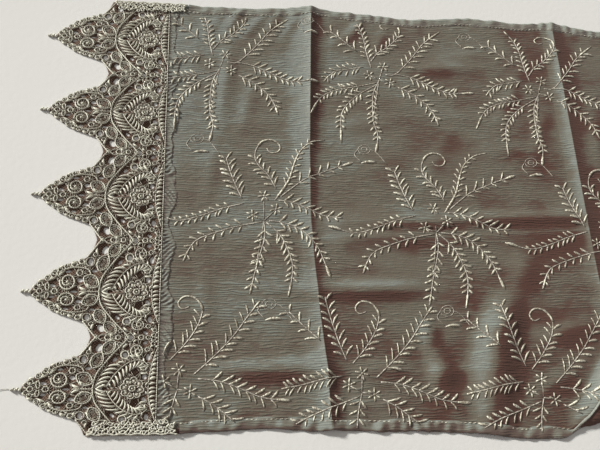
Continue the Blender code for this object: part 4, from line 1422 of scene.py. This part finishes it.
def strip_form(far):
    """The border's side edge folded over: crowded small rings, leaves and knobs, a little uneven."""
    edge = LACE_EASE[-1] if far else LACE_EASE[0]
    inward = -1.0 if far else 1.0
    draw = random.Random("strip" + str(far))
    form = Form()

    def across(share):
        return edge + inward * (SIDE_STRIP_INSET + (SIDE_STRIP_WIDTH - 2.0 * SIDE_STRIP_INSET) * share)

    stations = [SIDE_STRIP_START + 1.0 + SIDE_EDGE_PITCH * k for k in range(SIDE_EDGE_STEPS)]
    route = [(s, across(SIDE_EDGE_AT) + SIDE_EDGE_SWAY[0] * sin(s / SIDE_EDGE_SWAY[1])) for s in stations]
    cord(form, route, *SIDE_EDGE_CORD, base=SIDE_STRIP_FOOT, shares=bead_shares(SIDE_EDGE_STEPS))
    for row, share in enumerate(SIDE_ROWS):
        s = SIDE_STRIP_START + SIDE_ROW_FROM + SIDE_ROW_SHIFT * row
        while s < SIDE_STRIP_END - SIDE_ROW_END:
            y = across(share + draw.uniform(-SIDE_RING_STRAY, SIDE_RING_STRAY) * (1 + row))
            turn = draw.uniform(0.0, pi)
            high = draw.uniform(*SIDE_RING_HEIGHTS)
            reaches = (draw.uniform(*SIDE_RING_LENGTHS), draw.uniform(*SIDE_RING_WIDTHS))
            ring = loop_points(s, y, *reaches, turn, SIDE_RING_SIDES)
            shares = bead_shares(SIDE_RING_SIDES)
            cord(form, ring, SIDE_RING_CORD, high, closed=True, base=SIDE_STRIP_FOOT, shares=shares)
            beside = s + SIDE_RING_PITCH / 2
            if draw.random() < 0.5:
                y = across(share + draw.uniform(-SIDE_KNOB_STRAY, SIDE_KNOB_STRAY))
                knob(form, beside, y, *SIDE_KNOB, base=SIDE_STRIP_FOOT)
            else:
                foot = (beside - SIDE_LEAF_HALF, across(share + SIDE_LEAF_ENDS[0]))
                tip = (beside + SIDE_LEAF_HALF, across(share + SIDE_LEAF_ENDS[1]))
                leaf(form, foot, tip, *SIDE_LEAF, SIDE_STRIP_FOOT)
            s += SIDE_RING_PITCH * draw.uniform(*SIDE_PITCHES)
    return form


# Embroidery

# A frond: its stem's points from the spray's centre, how many pairs of leaflets, the lengths and
# widths of those on its left and right, the shares of the stem where they start and end, and its
# tip, which is bare, a bud or thickened
Frond = namedtuple("Frond", "route pairs left right left_wide right_wide start end tip")
MIDDLE_SPRAY = table(
    Frond,
    (((-16, 18), (-21, 30), (-25, 42), (-27.5, 52)), 7, 7.5, 7.5, 2.1, 1.4, 0.04, 0.95, "bare"),
    (((9.5, 27), (4, 38), (-3, 46), (-5.6, 52), (-5, 59), (-1, 66), (5.4, 68.5), (11.4, 66.4), (13.8, 62),
     (11.4, 58), (6, 57.4), (3.4, 61)), 6, 6.6, 6.2, 2, 1.5, 0.02, 0.36, "curl"),
    (((8.5, 17), (19, 33), (24, 48), (29, 59), (38, 67), (48.5, 70)), 8, 4.8, 4.8, 1.3, 1.5, 0.22, 0.78,
     "stem"),
    (((13, 20), (28, 32.5), (36, 37), (45, 41), (54, 45), (65, 49)), 5, 7, 5.6, 1.4, 1.4, 0.3, 0.86, "bud"),
    (((11, 17), (22, 15), (34, 9.6), (46, 4.4), (58.5, 3.2)), 8, 7.4, 4.6, 1.6, 1.5, 0.08, 0.88, "bare"),
    (((4, 0), (16, -2), (28, -7.5), (36.6, -17), (41, -25), (46, -40)), 9, 6.2, 6, 1.9, 1.6, 0.12, 0.8,
     "bud"),
    (((1.6, -1.2), (11.6, -11), (16.8, -22), (20, -34), (19, -46), (16, -59)), 9, 5.4, 6, 1.8, 1.7, 0.16,
     0.76, "thick"),
    (((0, -1), (0.4, -13), (-3.4, -27), (-7, -40), (-11, -57)), 8, 5.4, 6, 1.6, 1.8, 0.12, 0.86, "thick"),
    (((-2, -1.2), (-17, -4.4), (-33, -9.4), (-50, -17.5), (-58, -33)), 8, 5, 5.6, 1.4, 1.6, 0.2, 0.9,
     "thick"),
    (((-15, 13.7), (-30, 9.4), (-46, 3), (-62, -1.2), (-77, 2.5)), 9, 4.8, 4.6, 1.3, 1.5, 0.16, 0.76,
     "bud"),
)
FAR_SPRAY = table(
    Frond,
    (((-5.7, 11.4), (-8.5, 25), (-10.2, 40), (-13.5, 51), (-21, 62)), 8, 5.2, 5.6, 1.4, 1.9, 0.16, 0.74,
     "thick"),
    (((-16.5, 26.7), (-28, 37), (-37.5, 45.5)), 4, 7.6, 7.4, 1.9, 1.7, 0.06, 0.96, "bare"),
    (((-5.7, 17), (1, 26), (8, 31), (17, 40), (21, 47), (20.4, 53), (16, 56.4), (9, 57), (5, 53.6), (7.6,
     50.4), (12, 51.4)), 6, 6.6, 6.6, 1.4, 1.8, 0.12, 0.48, "curl"),
    (((5.7, 5), (13.6, 5.2), (24, 16), (32, 26), (41, 38), (56, 50.6)), 7, 6.4, 9.4, 1.3, 1.9, 0.26, 0.82,
     "thick"),
    (((13.6, 5.6), (25, 3.4), (37.5, -2.3), (49, -8), (58, -10.8), (74, -10.2)), 9, 7, 6, 1.9, 1.4, 0.2,
     0.8, "bud"),
    (((14.8, -6.8), (26, -13), (36, -21.5), (41.4, -29.4), (45.5, -42)), 7, 7, 6.6, 1.8, 1.4, 0.06, 0.82,
     "thick"),
    (((0, -1.1), (-5.7, -13.6), (-7.4, -28.4), (-7.4, -43), (-5, -52), (-6.8, -63.6)), 10, 5.2, 5.6, 1.8,
     1.6, 0.16, 0.84, "bud"),
    (((-1, -4.5), (-17, -14.8), (-28.4, -26), (-33.5, -37.5), (-34.7, -60.8)), 9, 5.2, 5.6, 1.8, 1.7, 0.24,
     0.76, "thick"),
    (((-2.3, -3.4), (-22.7, -9), (-34, -11.4), (-44.3, -16), (-51, -22.7), (-58, -36.4)), 9, 5, 5.8, 1.5,
     1.8, 0.22, 0.74, "thick"),
    (((-12.5, 11.4), (-25, 8.5), (-36.4, 5.7), (-45.5, -4)), 7, 6.6, 6.6, 1.3, 1.3, 0.06, 0.84, "thick"),
)
NEAR_SPRAY = table(
    Frond,
    (((-9, 22), (-14, 36), (-18.5, 52), (-22, 68)), 8, 6.2, 6, 1.8, 1.5, 0.06, 0.94, "bare"),
    (((-5, 20), (4, 30), (11, 40), (15, 49), (16, 57), (11.5, 63.5), (4, 65), (-0.5, 60.5), (2, 56), (7,
     57.5)), 6, 6.2, 6.6, 1.1, 2, 0.08, 0.46, "curl"),
    (((-27, 36), (-38, 47), (-48, 57)), 4, 5.8, 5.8, 1.7, 1.6, 0.04, 0.96, "bare"),
    (((11, 10), (24, 22), (37, 36), (47, 50), (56, 62)), 9, 6.4, 7, 1, 2, 0.14, 0.9, "thick"),
    (((13.6, 7), (28, 5), (42, 0), (56, -6), (71, -8)), 8, 6.4, 5.6, 1.8, 1.1, 0.16, 0.84, "bud"),
    (((14, -5), (26, -12), (38, -22)), 5, 6.4, 6, 1.7, 1.2, 0.1, 0.9, "bare"),
    (((0, -1), (-3, -12), (-5, -24)), 4, 5.2, 5.2, 1.5, 1.4, 0.2, 0.95, "bare"),
    (((-2, -3), (-18, -9), (-34, -15), (-46, -21)), 7, 5.2, 5.8, 1.1, 1.7, 0.2, 0.92, "bare"),
    (((-13, 11), (-27, 8.6), (-41, 5.2), (-55, 2.6)), 9, 5.6, 5.6, 1, 1.6, 0.08, 0.86, "thick"),
)
# Where a spray has small flowers and rings, from its centre
MIDDLE_FLOWERS = ((0.4, 20.4), (9.2, 9.6), (-8.4, 4.1), (-5.2, -31))
FAR_FLOWERS = ((4.5, 12.5), (-8, 3.4), (9, -2.8), (-7.4, -35.8))
NEAR_FLOWERS = ((1.0, 13.0), (-8.6, 5.0), (8.6, -1.6))
FAR_RINGS = ((-17, -66), (-57, 54))
NEAR_RINGS = ((-62, 63),)

# A row of sprays: the first three as in the picture, then one every pitch. Sway bends the row, and
# size is how large its leaflets are
SprayRow = namedtuple("SprayRow", "name fronds flowers rings first y sway size")
SPRAY_ROWS = table(
    SprayRow,
    ("embroidery_far", FAR_SPRAY, FAR_FLOWERS, FAR_RINGS, (134.8, 263.6, 398.0), 115.0, 6.4, 1.12),
    ("embroidery_middle", MIDDLE_SPRAY, MIDDLE_FLOWERS, (), (167.3, 296.6, 431.2), -18.6, 9.6, 1.2),
    ("embroidery_near", NEAR_SPRAY, NEAR_FLOWERS, NEAR_RINGS, (107.1, 231.6, 360.2), -143.0, 4.0, 1.36),
)
SPRAY_PITCH = 131.3
SPRAYS_PAST = 20.0              # how far past the seam the last spray's centre may be
SWAY_LENGTH = 600.0
STEM_WIDE = 0.95
STEM_HIGH = 0.46
LEAFLET_HIGH = 0.8
LEAFLET_WIDE = 1.1
LEAFLET_TURN = radians(48)
LEAFLET_STRAYS = 0.14           # how far its turn strays from that
LEAFLET_SHIFT = 0.6             # how far its foot strays along the stem
LEAFLET_FROM_STEM = 0.5
LEAFLET_LENGTHS = (0.84, 1.1)
LEAFLET_SHORTENS = (1.12, 0.32)     # its share of the length at the stem's foot, and how that falls
LEAFLET_BEND = 0.06
BUD = (5.0, 2.6)                # length past the stem, width
TIP_WIDE = 1.8
TIP_THINNER = 0.55
# How much of the stem each kind of tip thickens
TIP_SHARE = {"thick": 0.2, "curl": 0.6, "stem": 0.95}
EMBROIDERY_FROM_HEM = HEM + 0.8
EMBROIDERY_FROM_EDGE = 1.6      # where it runs on over the near hem
EMBROIDERY_PAST_STRIP = 4.0     # how far past a side strip it first does so
EMBROIDERY_FROM_SEAM = 1.4
HEM_HIGH = 0.62                 # how high it is on the hem, and over what distance it comes down
HEM_DOWN = 1.6
BAND_HIGH = 0.9
BAND_DOWN = 1.2
THREAD_SINK = -0.06
SMALL_PETALS = 6
SMALL_PETAL = (1.0, 5.0, 1.3)   # from and to, width
SMALL_KNOB = (0.9, 0.6)
SMALL_STEM_WIDE = 0.6
FINE_STEM_WIDE = 0.5
FINE_STEM_HIGH = 0.32
FINE_TURNS = (5.0, 2.4)         # half lengths of the fine rings
FINE_TURN_NARROWER = 0.8
FINE_TURN_LEAN = 0.3
FINE_TURN_SIDES = 16
FINE_TAILS = (((5, 0), (10, -3), (17, -13)), ((-5, 0), (-8, -5), (-3, -11)))
FINE_LEAF = ((-3, -12), (9, -11.5))
FINE_LEAF_BEND = 0.08


def on_cloth(place):
    """Whether embroidery may be worked here: clear of the seams, the far hem and the rolled edge."""
    s, y = place
    if from_seam(s) <= EMBROIDERY_FROM_SEAM:
        return False
    rolled = ROLL_START - ROLL_FADE < s < ROLL_END + ROLL_FADE
    on_strip = min(s, LENGTH - s) < SIDE_STRIP_END + EMBROIDERY_PAST_STRIP
    clear = EMBROIDERY_FROM_HEM if rolled or on_strip else EMBROIDERY_FROM_EDGE
    return edge_y("near", s) + clear < y < edge_y("far", s) - EMBROIDERY_FROM_HEM


def embroidery_lift(s, y):
    """The height of what embroidery is worked on: the cloth, the near hem or the seam band."""
    past_hem = y - edge_y("near", s) - HEM + HEM_DOWN / 2
    on_hem = HEM_HIGH * (1.0 - smooth(past_hem / HEM_DOWN))
    on_band = BAND_HIGH * (1.0 - smooth((from_seam(s) - band_width(y)) / BAND_DOWN))
    return top_lift(s, y) + np.maximum(on_hem, on_band)


def draw_stem(form, route, wide=STEM_WIDE, high=STEM_HIGH, thinner=0.0):
    """A stem, in as many stretches as the cloth's edges leave of it."""
    stretch = []
    for k, place in enumerate([*route, None]):
        if place and on_cloth(place):
            stretch.append((place, 1.0 - thinner * k / len(route)))
            continue
        if len(stretch) > 1:
            places, shares = zip(*stretch)
            cord(form, places, wide, high, base=THREAD_SINK, shares=shares)
        stretch = []


def moved(route, centre):
    """A route that is drawn from a centre, at its place."""
    return [(centre[0] + ds, centre[1] + dy) for ds, dy in route]


def draw_leaflet(form, start, end, width, bend):
    if on_cloth(start) and on_cloth(end):
        leaf(form, start, end, width, LEAFLET_HIGH, bend, THREAD_SINK, LEAFLET_SHARES)


def draw_frond(form, stems, frond, centre, size, draw):
    route = smooth_route(moved(frond.route, centre), 4)
    draw_stem(stems, route)
    for k, (place, direction) in enumerate(along_route(route, frond.pairs, frond.start, frond.end)):
        for side, length, width in ((1, frond.left, frond.left_wide), (-1, frond.right, frond.right_wide)):
            angle = direction + side * (LEAFLET_TURN + draw.uniform(-LEAFLET_STRAYS, LEAFLET_STRAYS))
            share = LEAFLET_SHORTENS[0] - LEAFLET_SHORTENS[1] * k / frond.pairs
            reach = length * size * draw.uniform(*LEAFLET_LENGTHS) * share
            foot = from_point(place, direction, draw.uniform(-LEAFLET_SHIFT, LEAFLET_SHIFT))
            foot = from_point(foot, angle, LEAFLET_FROM_STEM)
            tip = from_point(foot, angle, reach)
            draw_leaflet(form, foot, tip, width * LEAFLET_WIDE, -LEAFLET_BEND * side)
    if frond.tip == "bud":
        tip = from_point(route[-1], towards(route[-3], route[-1]), BUD[0])
        draw_leaflet(form, route[-3], tip, BUD[1], 0.0)
    if frond.tip in TIP_SHARE:
        tail = route[-max(3, round(len(route) * TIP_SHARE[frond.tip])):]
        draw_stem(form, tail, TIP_WIDE, LEAFLET_HIGH, TIP_THINNER)


def draw_small_flower(form, place, draw):
    """Petals round a knot."""
    if not on_cloth(place):
        return
    start = draw.random()
    inner, outer, width = SMALL_PETAL
    for k in range(SMALL_PETALS):
        angle = start + 2.0 * pi * k / SMALL_PETALS
        draw_leaflet(form, from_point(place, angle, inner), from_point(place, angle, outer), width, 0.0)
    knob(form, *place, *SMALL_KNOB, base=THREAD_SINK)


def draw_small_rings(form, stems, place):
    """Two fine turns of thread with two tails, and a single leaf below them."""
    for reach in FINE_TURNS:
        half_width = reach * FINE_TURN_NARROWER
        points = loop_points(*place, reach, half_width, FINE_TURN_LEAN, FINE_TURN_SIDES)
        if all(on_cloth(p) for p in points):
            cord(stems, points, FINE_STEM_WIDE, FINE_STEM_HIGH, closed=True, base=THREAD_SINK)
    for tail in FINE_TAILS:
        draw_stem(stems, smooth_route(moved(tail, place), 3), FINE_STEM_WIDE)
    draw_leaflet(form, *moved(FINE_LEAF, place), BUD[1], FINE_LEAF_BEND)


def embroidery_form(row, stems):
    """A row of sprays. Their stems and fine rings go to a form that the rows share."""
    draw = random.Random(row.name)
    form = Form()
    places = list(row.first)
    while places[-1] + SPRAY_PITCH < LENGTH - LACE_DEPTH + SPRAYS_PAST:
        places.append(places[-1] + SPRAY_PITCH)
    for s in places:
        sway = row.sway * (1.0 - cos(2.0 * pi * (s - row.first[0]) / SWAY_LENGTH))
        centre = (s, row.y - sway)
        for frond in row.fronds:
            draw_frond(form, stems, frond, centre, row.size, draw)
        for flower in moved(row.flowers, centre):
            draw_small_flower(form, flower, draw)
            foot = from_point(centre, towards(centre, flower), dist(centre, flower) - SMALL_PETAL[0])
            draw_stem(stems, [centre, foot], SMALL_STEM_WIDE)
        for place in moved(row.rings, centre):
            draw_small_rings(form, stems, place)
    return form


# Stage

CAMERA_TURN = radians(-17.37)   # from straight in front of the near edge
CAMERA_TILT = radians(64.16)    # above the surface
CAMERA_ROLL = radians(16.8)
CAMERA_AIM = (193.89, -21.28)
CAMERA_AWAY = 613.65
CAMERA_LENS = 49.98
CAMERA_SENSOR = 36.0
FLOOR_HALF = 6.0
FLOOR_Z = -0.0003
WARM_WHITE = (1.0, 0.97, 0.94)
WORLD_STRENGTH = 0.24
# Lights: where they come from, strength, softness in degrees and colour
SUNS = (
    ("key_light", (-0.78, 0.52, 0.40), 5.4, 9.0, (1.0, 1.0, 0.95)),
    ("soft_fill", (0.5, -0.4, 0.9), 0.35, 60.0, WARM_WHITE),
)


def make_camera():
    level = cos(CAMERA_TILT)
    away = Vector((sin(CAMERA_TURN) * level, -cos(CAMERA_TURN) * level, sin(CAMERA_TILT)))
    right = (-away).cross(Vector((0.0, 0.0, 1.0))).normalized()
    up = right.cross(-away)
    rolled_right = right * cos(CAMERA_ROLL) + up * sin(CAMERA_ROLL)
    rolled_up = up * cos(CAMERA_ROLL) - right * sin(CAMERA_ROLL)
    aim = Vector(((CAMERA_AIM[0] - LENGTH / 2) * MM, CAMERA_AIM[1] * MM, 0.0))
    data = bpy.data.cameras.new("camera")
    data.lens = CAMERA_LENS
    data.sensor_width = CAMERA_SENSOR
    data.sensor_fit = "HORIZONTAL"
    data.clip_start = 0.01
    data.clip_end = 50.0
    camera = placed("camera", data)
    turn = Matrix((rolled_right, rolled_up, away)).transposed().to_4x4()
    camera.matrix_world = Matrix.Translation(aim + away * CAMERA_AWAY * MM) @ turn
    bpy.context.scene.camera = camera


def make_sun(name, source, strength, softness, colour):
    data = bpy.data.lights.new(name, "SUN")
    data.color = colour
    data.energy = strength
    data.angle = radians(softness)
    placed(name, data).rotation_euler = Vector(source).to_track_quat("Z", "Y").to_euler()


def make_stage():
    corners = [(FLOOR_HALF * x, FLOOR_HALF * y, FLOOR_Z) for x, y in ((-1, -1), (1, -1), (1, 1), (-1, 1))]
    mesh = bpy.data.meshes.new("floor")
    mesh.from_pydata(corners, [], [(0, 1, 2, 3)])
    mesh.materials.append(floor_paint())
    floor = placed("floor", mesh)
    for sun in SUNS:
        make_sun(*sun)
    world = bpy.data.worlds.new("studio")
    world.use_nodes = True
    background = world.node_tree.nodes["Background"]
    background.inputs["Color"].default_value = (*WARM_WHITE, 1.0)
    background.inputs["Strength"].default_value = WORLD_STRENGTH
    bpy.context.scene.world = world
    bpy.context.scene.view_settings.view_transform = "Standard"


# The whole

LOOSE_STEPS = 9
LOOSE_THREAD = (0.35, 0.3)
LOOSE_BASE = 0.05


def make_finishes():
    return {
        "crepe": cloth_paint("crepe", 0.0, 0.0004),
        "doubled": cloth_paint("doubled_crepe", 0.42, 0.0003),
        "turned": cloth_paint("turned_crepe", 0.16, 0.0003),
        "seam": cloth_paint("seam_crepe", 0.32, 0.0005),
        "lace": thread_paint("lace_thread", LACE_LOW, LACE_HIGH, 0.0003, 0.0012, 0.5),
        "strip": thread_paint("strip_thread", STRIP_LOW, LACE_HIGH, 0.0013, 0.0022, 0.5),
        "satin": satin_paint("embroidery_thread", SATIN_LOW, SATIN_HIGH, 0.38),
        "stem": satin_paint("stem_thread", STEM_DARK, STEM_LIGHT, 0.45),
        "ground": ground_paint(),
    }


def make_hems(finishes):
    """The hems, the rolled edge and their stitches, which all lie on the cloth."""
    made = []
    stitches = Form()
    strip_end = SIDE_STRIP_END + SEAM_GAP
    for name, column, start, end, fade, finish in (
        ("hem_far", "far", strip_end, LENGTH - strip_end, "", "doubled"),
        ("hem_near_left", "near", strip_end, ROLL_START + HEM_PAST_ROLL, "end", "turned"),
        ("hem_near_right", "near", ROLL_END - HEM_PAST_ROLL, LENGTH - strip_end, "start", "turned"),
    ):
        form = hem_form(column, start, end, fade)
        hem = make_piece(name + "_cloth", form, finishes[finish], hem_lift)
        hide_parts(name)
        made.append(hem)
        stitch_row(stitches, column, start, end, fade)
    form = hem_form("near", ROLL_START - ROLLED_PAST, ROLL_END + ROLLED_PAST, "both", ROLLED_EDGE)
    made.append(make_piece("rolled_edge", form, finishes["doubled"], hem_lift))
    made.append(make_piece("hem_stitches", stitches, finishes["satin"], hem_lift))
    return made


def make_lace_ends(finishes):
    """The two lace borders with what belongs to them. The seam bands lie on the cloth."""
    made = []
    lace = lace_form()
    band = band_form()
    ground = ground_form()
    strips = {"far": strip_form(True), "near": strip_form(False)}
    for end, right in (("left", False), ("right", True)):
        piece = make_piece("lace_border_" + end, lace, finishes["lace"], right=right)
        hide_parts("lace_" + end)
        # The ground sheet, painted as the shade between the cords
        make_piece("lace_ground_" + end, ground, finishes["ground"], right=right)
        piece = make_piece("seam_band_" + end, band, finishes["seam"], top_lift, right)
        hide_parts("seam_allowance_" + end)
        made.append(piece)
        for side, strip in strips.items():
            name = f"lace_strip_{end}_{side}"
            piece = make_piece(name, strip, finishes["strip"], right=right)
            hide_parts(f"lace_fold_{end}_{side}")
    return made


def make_embroidery(finishes):
    """The sprays and their stems, and a loose thread at the lace's nearest point."""
    stems = Form()
    made = []
    for row in SPRAY_ROWS:
        form = embroidery_form(row, stems)
        made.append(make_piece(row.name, form, finishes["satin"], embroidery_lift))
    loose = Form()
    route = [(1.5 - 2.0 * k, 0.5 * sin(0.8 * k)) for k in range(LOOSE_STEPS)]
    cord(loose, moved(route, (0.0, lace_y(TOOTH_AXES[0]))), *LOOSE_THREAD, base=LOOSE_BASE)
    make_piece("loose_thread", loose, finishes["stem"])
    made.append(make_piece("embroidery_stems", stems, finishes["stem"], embroidery_lift))
    return made


def main():
    make_camera()
    make_stage()
    finishes = make_finishes()
    cloth = make_cloth(finishes["crepe"])
    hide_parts("cloth_panel")
    on_top = make_hems(finishes) + make_lace_ends(finishes) + make_embroidery(finishes)


main()
